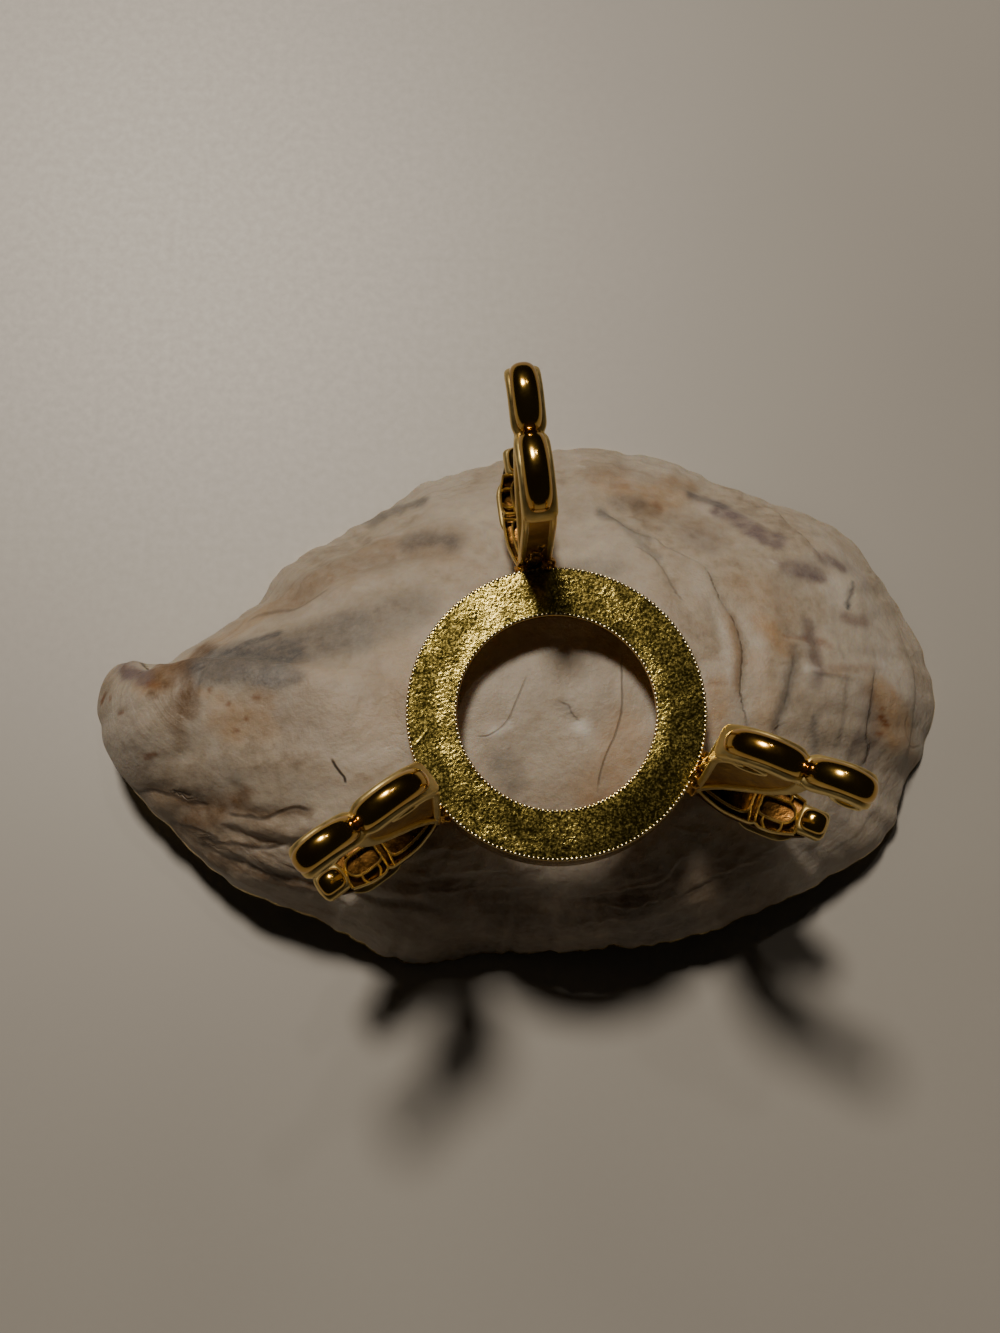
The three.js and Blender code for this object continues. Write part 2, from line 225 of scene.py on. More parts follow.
# stains on the outside, each as a path, its half width and its strength; a few of them also paint shade, and
# two paint highlights
shellStains = {
    "slate": [
        ([(-38.6, 8.2), (-36.2, 8.4), (-33.4, 8.5), (-29.6, 8.4)], 2.7, 0.85),
        ([(-38.2, 6.2), (-34.0, 6.2), (-29.4, 5.6)], 1.7, 0.75),
        ([(-33.0, 5.0), (-30.4, 4.6), (-28.2, 5.2)], 1.1, 0.7),
        ([(-29.4, 8.6), (-25.4, 9.8), (-21.8, 11.2)], 2.9, 0.6),
        ([(-22.0, 11.2), (-19.0, 12.2), (-15.5, 13.8)], 2.8, 0.42),
        ([(-38.9, 5.2), (-38.7, 8.0), (-38.9, 10.4)], 0.4, 0.9),
        ([(-36.8, 9.6), (-34.0, 10.6), (-30.6, 11.2)], 0.7, 0.9),
        ([(-21.4, 29.6), (-18.2, 30.6), (-15.1, 30.9)], 0.9, 0.6),
        ([(-16.5, 23.4), (-13.8, 23.4), (-11.0, 22.6)], 1.2, 0.5),
        ([(26.8, 9.4), (26.6, 7.2), (26.2, 5.6), (25.8, 4.0), (25.2, 2.2), (24.4, 0.6)], 0.9, 0.4),
        ([(29.1, 1.8), (29.0, 0.2), (29.4, -1.6)], 0.45, 0.6),
        ([(35.5, 19.7), (35.0, 17.9), (34.6, 16.6)], 0.25, 0.7),
        ([(34.6, 16.8), (34.5, 16.3)], 0.4, 1.0),
        ([(6.2, 27.2), (8.4, 24.9), (11.0, 23.4)], 0.8, 0.5),
        ([(7.8, 25.2), (10.0, 22.4), (12.0, 20.2)], 0.6, 0.35),
        ([(8.6, 29.4), (10.4, 29.2)], 1.3, 0.45),
        ([(17.1, 31.1), (19.2, 30.4), (21.3, 29.7)], 0.9, 0.5),
        ([(3.4, 18.4), (7.0, 18.6)], 1.6, 0.3),
        ([(9.0, -20.4), (15.0, -20.6)], 1.8, 0.35),
        ([(-5.6, -4.6), (-4.6, -6.2)], 1.7, 0.4),
        ([(0.5, 1.9), (1.5, 1.6), (1.8, 0.7)], 0.35, 0.45),
    ],
    "umber_and_shade": [
        ([(-43.8, 7.0), (-42.4, 8.2), (-40.9, 9.8), (-40.2, 11.0)], 1.8, 1.0),
        ([(-42.6, 5.8), (-41.2, 7.4), (-40.4, 4.2), (-40.0, 2.2)], 1.3, 0.95),
        ([(-44.2, 4.6), (-43.6, 4.3)], 0.35, 1.0),
        ([(-48.6, 8.8), (-48.0, 7.9), (-46.6, 7.5), (-45.6, 6.6)], 0.6, 0.95),
        # partly real brown stain and partly painted shade: darkens the hollow below the knob
        ([(-40.8, -9.2), (-39.0, -9.2), (-37.2, -8.8), (-35.2, -7.8), (-34.0, -7.2)], 1.2, 0.8),
        ([(-41.4, 2.6), (-41.0, -1.0)], 0.8, 0.5),
        ([(-51.1, 5.3), (-50.6, 5.9)], 0.35, 0.9),
        ([(-47.8, 3.4), (-47.0, 3.2)], 0.4, 0.45),
        ([(-45.2, -1.5), (-43.6, -1.8)], 0.45, 0.55),
        ([(-41.6, -6.0), (-40.6, -6.4)], 0.5, 0.8),
        # partly real brown stain and partly painted shade in the hollow below the knob
        ([(-42.4, -9.6), (-39.8, -9.2), (-37.2, -8.6), (-34.6, -7.6)], 1.7, 0.9),
        ([(-46.0, -5.2), (-42.0, -8.8), (-38.0, -11.4), (-33.0, -14.6), (-27.0, -17.2)], 3.0, 0.5),
        ([(-45.4, -5.0), (-42.6, -6.2), (-39.9, -8.0), (-37.3, -8.9)], 0.55, 0.8),
        ([(-37.3, -8.8), (-34.7, -8.6), (-31.5, -9.6), (-28.6, -9.2), (-26.5, -9.5)], 0.5, 0.8),
        ([(-42.2, -9.5), (-39.5, -11.0), (-36.4, -12.2), (-33.0, -12.4), (-30.1, -12.5)], 0.5, 0.8),
        ([(-38.4, -12.8), (-36.6, -13.8), (-32.5, -14.9), (-28.6, -16.4), (-24.0, -17.4)], 0.6, 0.8),
        ([(-34.5, -16.6), (-30.1, -18.1), (-25.0, -19.3)], 0.8, 0.6),
        ([(-40.0, -9.0), (-34.0, -11.0), (-27.0, -12.5)], 3.2, 0.35),
        ([(-30.0, 16.6), (-26.3, 19.2), (-21.9, 20.3), (-17.6, 21.8), (-12.0, 23.0)], 2.6, 0.42),
        # partly real brown stain and partly painted shade: these broad marks darken the front flank where it
        # turns from the light
        ([(-16.0, -18.6), (-9.0, -18.9), (-1.0, -19.9), (5.0, -19.2), (9.8, -17.6)], 2.8, 0.7),
        ([(11.0, -17.0), (16.5, -16.4), (21.0, -14.0)], 2.6, 0.6),
        ([(-14.5, -21.3), (0.0, -22.4), (14.0, -21.0), (26.0, -16.6)], 1.5, 0.55),
        ([(11.0, 28.6), (12.6, 28.2)], 1.2, 0.6),
        ([(13.6, 27.0), (12.4, 26.2)], 1.6, 0.25),
        ([(5.5, 34.0), (9.2, 35.2)], 1.8, 0.35),
        ([(12.0, 34.0), (17.0, 32.6)], 1.5, 0.3),
        ([(16.5, 26.4), (20.0, 25.0)], 1.6, 0.35),
        ([(20.2, 13.2), (20.5, 10.4), (20.3, 7.6), (20.0, 4.6)], 0.5, 0.45),
        ([(29.2, 12.2), (29.8, 10.0), (29.8, 8.2)], 0.8, 0.6),
        ([(37.2, 6.0), (37.8, 3.0), (37.0, 0.8)], 0.8, 0.35),
    ],
    "ochre": [
        ([(-40.0, 12.4), (-36.3, 13.4), (-33.2, 15.0)], 1.0, 0.5),
        ([(-36.8, 2.6), (-33.1, 1.1), (-31.5, 2.1)], 1.3, 0.5),
        ([(-34.2, -0.4), (-30.9, -1.2)], 1.2, 0.35),
        ([(-38.8, 4.2), (-37.6, 3.4)], 0.7, 0.5),
        ([(-43.6, 6.4), (-42.2, 8.8), (-40.6, 8.2)], 1.8, 0.9),
        ([(-46.0, 5.6), (-44.8, 5.2)], 0.8, 0.5),
        ([(-38.0, 12.4), (-33.1, 16.0), (-28.4, 17.4), (-23.0, 18.4)], 2.0, 0.28),
        ([(-21.3, 23.0), (-16.1, 22.8), (-11.5, 20.6)], 1.6, 0.2),
        ([(-34.8, 1.6), (-33.6, 0.6), (-34.8, -0.4), (-36.4, 0.8)], 1.6, 0.55),
        ([(-32.6, 2.8), (-31.0, -1.0)], 1.2, 0.4),
        ([(7.6, 32.6), (10.0, 30.6), (14.0, 30.4)], 2.6, 0.5),
        ([(15.0, 33.4), (17.4, 33.6)], 1.4, 0.5),
        ([(23.7, 12.6), (24.6, 10.9), (25.6, 9.6)], 1.7, 0.7),
        ([(22.6, 8.0), (23.6, 4.6), (23.2, 1.0)], 1.4, 0.35),
        ([(17.8, 4.4), (17.9, 1.8), (17.6, -0.4)], 1.1, 0.6),
        ([(37.4, 6.2), (39.6, 5.0), (40.9, 3.4), (39.0, 2.0)], 1.8, 0.75),
        ([(41.2, 1.6), (43.3, 0.4)], 1.0, 0.5),
        ([(19.8, 13.0), (20.3, 9.0), (20.1, 4.0)], 0.7, 0.5),
        ([(7.2, -1.0), (6.4, -4.6), (4.0, -8.0)], 2.6, 0.5),
        ([(-26.0, 5.0), (-20.0, 0.0), (-17.0, 6.0)], 3.4, 0.2),
        ([(22.0, 17.0), (26.0, 14.5)], 2.4, 0.3),
    ],
    "rust": [
        ([(38.0, 4.5), (38.1, 4.3)], 0.22, 0.8),
        ([(38.0, 3.6), (38.3, 3.2), (38.7, 2.7)], 0.34, 1.0),
        ([(37.7, 3.0), (38.3, 3.2)], 0.2, 0.8),
        ([(37.7, 1.5), (38.1, 1.6)], 0.25, 0.7),
        ([(13.0, 29.4), (13.2, 28.8)], 0.4, 0.4),
        ([(8.0, 31.9), (9.4, 31.8)], 0.7, 0.3),
        ([(-35.7, 2.5), (-35.5, 2.4)], 0.24, 0.8),
        ([(-33.6, 0.6), (-33.4, 0.5)], 0.2, 0.7),
        ([(-34.9, -0.4), (-34.6, -0.5)], 0.22, 0.8),
        ([(-32.6, 2.8), (-32.3, 2.8)], 0.3, 0.6),
        ([(-37.8, 4.2), (-37.6, 4.0)], 0.26, 0.6),
        ([(-49.7, 5.2), (-49.5, 5.1)], 0.22, 0.8),
        ([(-51.3, 5.3), (-51.0, 5.6)], 0.3, 0.9),
        ([(-47.5, 3.1), (-47.1, 3.1)], 0.26, 0.7),
        ([(-44.6, -1.9), (-43.6, -1.6)], 0.26, 0.7),
        ([(-44.6, 5.6), (-43.6, 5.2)], 0.4, 0.5),
        ([(30.4, 11.0), (31.4, 10.4)], 0.5, 0.4),
        ([(26.0, 10.9), (28.8, 11.0)], 0.3, 0.5),
        ([(31.3, 7.6), (34.0, 8.0), (36.6, 8.8)], 0.5, 0.3),
        ([(34.2, 14.6), (36.8, 15.0)], 0.7, 0.22),
        ([(16.2, 7.6), (18.6, 7.5)], 0.2, 0.35),
        ([(16.8, 4.7), (18.7, 4.6)], 0.2, 0.35),
        ([(15.8, 11.2), (16.8, 10.7)], 0.5, 0.2),
    ],
    "mauve": [
        ([(-48.9, 9.3), (-48.2, 8.2), (-46.8, 7.4), (-45.4, 6.4)], 1.1, 1.0),
        ([(20.6, 28.7), (22.1, 27.7), (23.6, 26.0), (25.0, 24.4), (26.4, 23.8)], 1.25, 1.0),
        ([(27.2, 20.2), (28.9, 20.0), (31.0, 19.9)], 1.2, 0.85),
        ([(31.4, 22.7), (34.1, 21.6)], 0.8, 0.75),
        ([(35.2, 22.2), (37.6, 20.4)], 0.9, 0.3),
        ([(17.6, 30.8), (20.6, 30.2)], 1.2, 0.5),
        ([(16.0, 24.4), (19.0, 23.0)], 1.6, 0.35),
        ([(34.0, 14.6), (36.8, 15.0)], 0.8, 0.5),
        ([(29.2, 13.0), (29.7, 9.6), (29.6, 6.0)], 1.0, 0.5),
        ([(35.3, 0.9), (34.4, -1.1)], 0.7, 0.6),
        ([(36.2, 5.6), (36.4, -2.0), (33.0, -8.0)], 1.4, 0.3),
        ([(-30.0, 3.0), (-26.0, -1.0)], 3.0, 0.2),
    ],
    "chalk_and_highlight": [
        ([(-47.6, 3.0), (-46.4, -1.0)], 3.4, 0.32),
        ([(-40.0, 9.6), (-39.8, 7.6), (-39.7, 5.6), (-39.8, 4.0)], 0.42, 1.0),
        ([(-39.2, 9.4), (-39.0, 7.4), (-39.3, 5.4)], 0.16, 0.8),
        ([(-38.4, 9.8), (-38.2, 8.2)], 0.14, 0.6),
        ([(-41.6, 6.2), (-41.0, 4.6)], 0.35, 0.7),
        ([(-30.0, 6.4), (-29.6, 5.4)], 0.7, 0.5),
        ([(28.3, 7.1), (29.4, 7.0)], 0.5, 0.75),
        ([(25.4, 20.9), (26.2, 19.8)], 0.16, 0.7),
        ([(3.8, 35.6), (4.6, 35.2)], 0.2, 0.6),
        ([(-34.6, -12.6), (-29.6, -12.9)], 0.35, 0.5),
        ([(-6.8, -1.4), (-5.6, -0.8)], 0.5, 0.9),
        ([(-5.0, 0.0), (-4.8, -0.6)], 0.3, 0.6),
        ([(2.7, -0.5), (3.4, -1.2)], 0.7, 0.75),
        ([(39.4, 12.0), (40.4, 8.0)], 2.2, 0.35),
        ([(33.0, 17.6), (33.4, 19.0)], 1.6, 0.35),
        # painted highlight: these two pale strips light the raised side of the growth steps
        ([(22.6, 12.0), (23.0, 4.0)], 1.0, 0.35),
        ([(19.0, 11.6), (19.2, 5.0)], 0.6, 0.3),
        ([(-42.0, -11.4), (-38.0, -14.2), (-34.0, -16.4), (-29.0, -18.8)], 0.4, 0.6),
        ([(31.0, 28.0), (36.0, 22.0), (40.0, 15.0)], 1.4, 0.25),
    ],
}

# fine dark lines: a path, half its width and its strength. Four of them follow growth steps.
stepPaths = [path for path, drop, soft in growthSteps]
shellLines = [
    ([(7.4, 8.4), (7.4, 4.5), (7.3, 1.4), (6.6, -1.4), (5.7, -3.4), (5.0, -5.4), (4.5, -8.0)], 0.08, 0.5),
    ([(-2.8, 5.4), (-4.1, 2.3), (-5.1, 0.0), (-6.8, -1.5), (-8.6, -1.8)], 0.08, 0.4),
    ([(0.6, 2.0), (1.5, 1.7), (1.9, 0.8), (2.8, 0.0)], 0.08, 0.4),
    ([(-24.1, -4.0), (-23.5, -5.0), (-22.7, -6.0), (-22.6, -6.9)], 0.1, 1.0),
    (stepPaths[0][:7], 0.16, 0.4),
    (stepPaths[0][7:17], 0.12, 0.5),
    (stepPaths[1], 0.14, 0.3),
    (stepPaths[3][:6], 0.13, 0.5),
    ([(37.2, 8.6), (36.9, 6.6), (36.3, 3.3), (36.1, 1.3), (36.6, -0.5), (36.0, -2.6)], 0.1, 0.35),
    ([(26.9, 8.9), (26.7, 7.4), (26.2, 5.8), (25.9, 4.2), (25.5, 2.6)], 0.16, 0.2),
    ([(28.7, 6.9), (30.6, 6.7), (32.9, 6.8)], 0.16, 0.2),
    ([(41.8, 5.0), (41.2, 3.6), (41.3, 2.2), (42.4, 1.2), (44.4, 1.8)], 0.1, 0.22),
    ([(-47.2, 10.0), (-46.2, 8.6), (-46.4, 7.0)], 0.14, 0.7),
    ([(-45.0, 8.8), (-43.4, 9.2), (-41.6, 10.8)], 0.12, 0.6),
    ([(-35.4, 14.2), (-31.4, 15.4), (-28.0, 16.0), (-24.6, 17.2)], 0.16, 0.35),
    ([(-36.6, -8.9), (-34.0, -9.5), (-31.5, -9.8), (-28.3, -9.0), (-26.2, -9.4)], 0.14, 0.65),
    ([(-40.0, -10.8), (-37.8, -11.6), (-34.9, -12.2), (-31.6, -12.8), (-28.7, -12.6)], 0.14, 0.65),
    ([(-47.6, -4.2), (-46.4, -4.9), (-43.8, -5.7), (-41.0, -7.2), (-38.0, -8.2)], 0.14, 0.6),
    ([(-42.6, -5.8), (-41.4, -6.3), (-40.2, -6.8)], 0.12, 0.9),
    ([(-43.3, -8.4), (-41.2, -9.4), (-39.0, -10.5), (-36.7, -11.7)], 0.13, 0.5),
    ([(-40.2, -11.2), (-37.8, -12.4), (-35.7, -13.5), (-31.7, -15.1), (-27.0, -16.6)], 0.13, 0.5),
]


def marginLine():
    line = curveThrough(marginPoints, 24, closed=True)
    line = np.vstack([line, line[:1]])
    line[:, :2] -= shellSize["crown"]
    return line


def marginAt(angle):
    # reach and height of the margin in each direction from the crown
    line = marginLine()
    bearing = np.unwrap(np.arctan2(line[:, 1], line[:, 0]))
    start = bearing[0]
    turn = (angle - start) % (2 * math.pi) + start
    reach = np.interp(turn, bearing, np.hypot(line[:, 0], line[:, 1]))
    height = np.maximum(0, np.interp(turn, bearing, line[:, 2]))
    return reach, height


def domeFall(angle, share):
    front = (1 - np.sin(angle)) / 2
    towardsHinge = np.maximum(0, -np.cos(angle)) ** 2
    full = 1.8 + 0.45 * front + 0.4 * np.cos(angle) ** 2 + 0.45 * towardsHinge
    steep = 1.12 + 0.5 * front ** 2 + 0.3 * towardsHinge
    power = 2 + (full - 2) * share
    return (1 - share ** power) ** (1 / steep)


def domePoints(angle, share, reach, rimHeight, topHeight):
    shoulder = shellSize["shoulderRise"] * np.cos(angle) ** 2 * share ** 2 * (1 - share ** 2) ** 2
    x = shellSize["crown"][0] + np.cos(angle) * reach * share
    y = shellSize["crown"][1] + np.sin(angle) * reach * share
    z = rimHeight + (topHeight - rimHeight) * domeFall(angle, share) + shoulder
    return np.stack([x, y, z], axis=-1)


def outerReach(angle):
    reach, height = marginAt(angle)
    nibble = sum(np.sin(angle * k + k * k) * a for k, a in ((23, 0.10), (41, 0.09), (67, 0.07), (97, 0.05)))
    return reach - 0.2 + np.minimum(0.2, nibble), height


def discGrid(cells):
    # a square grid wrapped onto a disc, so that the crown has no pole
    t = np.linspace(-1, 1, cells + 1)
    u, v = np.meshgrid(t, t, indexing="ij")
    wide = abs(u) >= abs(v)
    safeU = np.where(wide & (u != 0), u, 1)
    safeV = np.where(~wide, v, 1)
    angle = np.where(wide, math.pi / 4 * v / safeU + np.where(u < 0, math.pi, 0),
                     math.pi / 2 - math.pi / 4 * u / safeV + np.where(v < 0, math.pi, 0))
    share = np.sin(np.maximum(abs(u), abs(v)) * math.pi / 2) ** 0.9
    return angle, share


def gridNormals(points):
    du = np.gradient(points, axis=0)
    dv = np.gradient(points, axis=1)
    normal = np.cross(du, dv)
    return normal / np.maximum(1e-9, np.linalg.norm(normal, axis=-1, keepdims=True))


def nearPath(x, y, path):
    # distance to a path, the side of it (1 on its left, -1 on its right) and how far along it (0 to 1)
    line = curveThrough(path, 8)
    best = np.full(x.shape, 1e9)
    side = np.ones(x.shape)
    run = np.zeros(x.shape)
    for i in range(len(line) - 1):
        a, b = line[i], line[i + 1]
        d = b - a
        t = np.clip(((x - a[0]) * d[0] + (y - a[1]) * d[1]) / (d @ d), 0, 1)
        dx, dy = x - a[0] - t * d[0], y - a[1] - t * d[1]
        dist = np.hypot(dx, dy)
        closer = dist < best
        best = np.where(closer, dist, best)
        side = np.where(closer, np.sign(d[0] * dy - d[1] * dx), side)
        run = np.where(closer, (i + t) / (len(line) - 1), run)
    return best, side, run


def growthField(x, y, share):
    # 0 at the beak and 1 at the margin: the outline that the shell had when each point was its edge
    beak = np.array(shellSize["beak"])
    line = marginLine()[:, :2] + shellSize["crown"] - beak
    bearing = np.arctan2(line[:, 1], line[:, 0])
    turns = np.linspace(-math.pi, math.pi, 361)
    far = []
    for turn in turns:
        inView = abs((bearing - turn + math.pi) % (2 * math.pi) - math.pi) < 0.09
        far.append(np.hypot(*line[inView].T).max(initial=6))
    kernel = np.exp(-np.linspace(-2, 2, 25) ** 2)
    far = np.convolve(far[-13:-1] + far + far[1:13], kernel / kernel.sum(), "valid")
    reach = np.interp(np.arctan2(y - beak[1], x - beak[0]), turns, far)
    fromBeak = np.hypot(x - beak[0], y - beak[1]) / reach
    return fromBeak + (share ** 2 - fromBeak) * smooth(0.55, 1, share) * 0.8


# the outside's relief: heights and sizes in millimetres
reliefSize = {
    "fine": (0.09, 0.33),  # the fine growth ridges: their height, and the level that stays where it was
    "broad": (0.26, 0.28),
    "ridges": (62, 0.31),  # fine ridges from beak to margin, and broad ones for each of them
    "swell": (13, 0.42),  # soft unevenness: its size and height
    "ripple": (5, 0.2),
    "grit": (1.5, 0.035),
    "wander": (6, 0.9),  # how far folds stray from their paths, and over what distance
    "stepReach": (3.2, 0.9),  # how far a step's raised side and its foot reach from the path
    "stepFoot": 0.35,  # how deep the foot is, as a share of the drop
    "knob": (-47.0, 2.0),  # the knob at the hinge end is worn smooth
    "underRing": ((9, 17), 0.25),  # nothing stands higher than this below the ring
}


def growthRelief(points, growth):
    # irregular fine ridges that follow the growth outlines, each with a gentle rise and a sharp drop
    count, share = reliefSize["ridges"]
    warp = growth * count + noiseField(points, 9, 3, 3) * 1.5 + noiseField(points, 2.2, 8) * 0.22
    coarse = warp * share + 0.4 * np.sin(warp * 0.17)
    fine = (warp % 1) ** 2
    broad = (coarse % 1) ** 2.5
    return fine, broad


def ridgedPart(points):
    # how strongly the growth ridges show: most on the front flank, in patches, and not on the knob
    x, y = points[:, 0], points[:, 1]
    front = smooth(-4, -17, y)
    right = smooth(8, 24, x)
    flank = np.clip(0.25 + 0.75 * np.maximum(front, right) - 0.15 * smooth(30, 8, np.hypot(x, y)), 0, 1)
    patch = smooth(-0.5, 0.5, noiseField(points, 11, 5, 2))
    knobX, knobY = reliefSize["knob"]
    knob = smooth(7.5, 4.5, np.hypot(x - knobX, y - knobY))
    return flank * patch * (0.25 + 0.75 * front) * (1 - knob), knob


def reliefOutside(points, share):
    s = reliefSize
    x, y = points[:, 0], points[:, 1]
    growth = growthField(x, y, share)
    fine, broad = growthRelief(points, growth)
    busy, knob = ridgedPart(points)
    height = (fine - s["fine"][1]) * s["fine"][0] * busy + (broad - s["broad"][1]) * s["broad"][0] * busy
    height += noiseField(points, s["swell"][0], 1, 2) * s["swell"][1]
    height += noiseField(points, s["ripple"][0], 2, 3) * s["ripple"][1] * (1 - 0.7 * knob)
    height += noiseField(points, s["grit"][0], 4, 2) * s["grit"][1]
    size, far = s["wander"]
    wander = np.stack([noiseField(points, size, 11, 2), noiseField(points, size, 12, 2)]) * far
    for path, drop, soft in growthSteps:
        dist, side, run = nearPath(x + wander[0] * 0.15, y + wander[1] * 0.15, path)
        ends = smooth(0, 0.15, run) * smooth(1, 0.85, run)
        raised = (1 - np.exp(-dist / soft)) * np.exp(-dist / s["stepReach"][0])
        foot = -s["stepFoot"] * np.exp(-dist / s["stepReach"][1])
        height += drop * ends * np.where(side < 0, raised, foot)
    for path, rise, half in shellFolds:
        dist, side, run = nearPath(x + wander[0] * 0.4, y + wander[1] * 0.4, path)
        ends = smooth(0, 0.25, run) * smooth(1, 0.75, run)
        height += rise * ends * np.exp(-(dist / half) ** 2)
    for (cx, cy), (long, across), turn, rise in shellLumps:
        c, d = math.cos(math.radians(turn)), math.sin(math.radians(turn))
        dx, dy = x - cx, y - cy
        height += rise * np.exp(-((dx * c + dy * d) / long) ** 2 - ((dy * c - dx * d) / across) ** 2)
    atEdge = smooth(0.985, 1, share)
    return height * (1 - 0.8 * atEdge), growth


# how each stain fades: its level, how blotchy it is, and how far its edge strays in millimetres
stainEdges = {
    "slate": (0.9, 0.2, 0.5),
    "umber_and_shade": (0.9, 0.32, 0.5),
    "ochre": (0.9, 0.5, 0.5),
    "rust": (1.0, 0.0, 0.12),
    "mauve": (0.9, 0.5, 0.5),
    "chalk_and_highlight": (0.9, 0.5, 0.5),
}


def stainFields(points):
    # how strongly each stain shows at each point, with ragged and blotchy edges; a few of them are painted
    # shade and painted highlight
    x, y = points[:, 0], points[:, 1]
    driftX = noiseField(points, 3.4, 51, 3) * 1.1 + noiseField(points, 0.9, 52, 2) * 0.25
    driftY = noiseField(points, 3.4, 53, 3) * 1.1 + noiseField(points, 0.9, 54, 2) * 0.25
    blotch = noiseField(points, 1.6, 55, 4)
    fields = {}
    for name, marks in shellStains.items():
        level, mottle, drift = stainEdges[name]
        stain = np.zeros(len(x))
        for path, half, strength in marks:
            give = drift * min(1.0, 0.35 + half / 2)
            dist = nearPath(x + driftX * give, y + driftY * give, path)[0]
            soft = smooth(1.5, 0.35, dist / half) * strength
            stain = np.maximum(stain, soft * np.clip(level + mottle * blotch, 0, 1.2))
        fields[name] = np.clip(stain, 0, 1)
    fields["across"], fields["ink"] = lineFields(points)
    return fields


def lineFields(points):
    # the fine lines are kept as a signed distance, in half widths, so that they stay thin between grid points
    x, y = points[:, 0], points[:, 1]
    across = np.full(len(x), 40.0)  # far from every line
    ink = np.zeros(len(x))
    wobble = noiseField(points, 1.6, 56, 2) * 0.12
    for path, half, strength in shellLines:
        dist, side, run = nearPath(x + wobble, y + wobble, path)
        closer = dist / half < abs(across)
        across = np.where(closer, side * dist / half, across)
        ends = smooth(0, 0.12, run) * smooth(1, 0.88, run) * smooth(0.85, 0.6, dist)
        ink = np.where(closer, strength * ends, ink)
    return across, ink


def keepInside(points):
    # nothing stands out of the frame's box or below the table
    spare = 0.02
    low = np.array(cadBox[0]) / mm + spare - (axisX, axisY, 0)
    high = np.array(cadBox[1]) / mm - spare - (axisX, axisY, 0)
    low[2] = 0
    return np.clip(points, low, high)


def buildOutside():
    angle, share = discGrid(shellSize["outerCells"])
    reach, height = outerReach(angle)
    points = domePoints(angle, share, reach, height, shellSize["crownHeight"])
    normals = gridNormals(points)
    flat = points.reshape(-1, 3)
    relief, growth = reliefOutside(flat, share.ravel())
    (near, far), highest = reliefSize["underRing"]
    fromAxis = np.hypot(flat[:, 0], flat[:, 1])
    relief = np.where((fromAxis > near) & (fromAxis < far), np.minimum(relief, highest), relief)
    moved = keepInside(flat + normals.reshape(-1, 3) * relief[:, None])
    return moved, flat, growth, ((1 - share) * reach).ravel()


def buildInside():
    cells = shellSize["outerCells"] // 2
    angle, share = discGrid(cells)
    reach, height = marginAt(angle)
    toHinge = shellSize["hingeDistance"] / np.maximum(0.05, -np.cos(angle))
    blend = shellSize["hingeBlend"]
    toRim = reach - shellSize["rimWidth"]
    inner = -blend * np.log(np.exp(-toRim / blend) + np.exp(-toHinge / blend))
    top = shellSize["crownHeight"] - shellSize["crownThickness"]
    points = domePoints(angle, share, inner, height, top)
    normals = gridNormals(points)
    flat = points.reshape(-1, 3)
    x, y = flat[:, 0], flat[:, 1]
    relief = noiseField(flat, 12, 21, 2) * 0.4 + noiseField(flat, 4, 22, 2) * 0.06
    scar = muscleScar(x, y)
    # the scar stands out a little, with faint rings at its edge
    relief += 0.35 * scar + 0.08 * np.sin(scar * 26) * (scar > 0.02) * (scar < 0.98)
    relief *= 1 - smooth(0.93, 1, share.ravel())
    fromRim = toRim - share * inner  # more than nothing beside the hinge plate, which has no gilding
    return keepInside(flat + normals.reshape(-1, 3) * relief[:, None]), scar, fromRim.ravel()


def muscleScar(x, y):
    # a kidney shape in the cavity, towards the growing end
    scarX, scarY = shellSize["scar"]
    halfLong, halfWide, bend = shellSize["scarShape"]
    dx, dy = x - scarX, y - scarY
    return smooth(1.05, 0.85, np.hypot(dx / halfLong, (dy + bend * dx ** 2) / halfWide))


def edgeLoop(cells):
    # indices round the grid's edge, anticlockwise from its corner at the lowest u and v
    n = cells + 1
    loop = [i * n for i in range(cells)]
    loop += [cells * n + j for j in range(cells)]
    loop += [(cells - i) * n + cells for i in range(cells)]
    loop += [cells - j for j in range(cells)]
    return np.array(loop)


def gridFaces(cells, first, flip):
    n = cells + 1
    i, j = np.meshgrid(np.arange(cells), np.arange(cells), indexing="ij")
    a = (i * n + j).ravel() + first
    quads = np.stack([a, a + n, a + n + 1, a + 1], axis=1)
    return quads[:, ::-1] if flip else quads


def buildRim(outerEdge, innerEdge):
    # rows of points from the outside's edge to the inside's, and how far beyond the rim's width each one is
    rows = shellSize["rimRows"]
    rim, beyond = [], []
    for k in range(1, rows):
        t = k / rows
        row = outerEdge * (1 - t) + innerEdge * t
        layered = 0.12 * (1 - math.cos(2 * math.pi * t)) * (0.3 + noiseField(row, 1.6, 31 + k))
        row[:, 2] += layered * (row[:, 2] > 0.15)
        rim.append(keepInside(row))
        beyond.append(np.maximum(0, np.linalg.norm(row - outerEdge, axis=1) - shellSize["rimWidth"]))
    return np.vstack(rim), np.concatenate(beyond)


def shellFaces(outerLoop, innerLoop, firstRim, firstInside):
    # faces of the outside, the rim and the inside, then how many come before the rim and the inside
    cells = shellSize["outerCells"]
    around = len(outerLoop)
    rimLoops = [firstRim + k * around + np.arange(around) for k in range(shellSize["rimRows"] - 1)]
    loops = [outerLoop] + rimLoops
    faces = gridFaces(cells, 0, False).tolist()
    outsideCount = len(faces)
    for near, far in zip(loops, loops[1:]):
        nextNear, nextFar = np.roll(near, -1), np.roll(far, -1)
        faces += np.stack([near, far, nextFar, nextNear], axis=1).tolist()
    last = loops[-1]
    inner = innerLoop + firstInside
    for k in range(len(inner)):
        a, b, c = last[2 * k], last[2 * k + 1], last[(2 * k + 2) % around]
        p, q = inner[k], inner[(k + 1) % len(inner)]
        faces += [[a, p, b], [b, p, q], [b, q, c]]
    rimCount = len(faces)
    faces += gridFaces(cells // 2, firstInside, True).tolist()
    return faces, outsideCount, rimCount


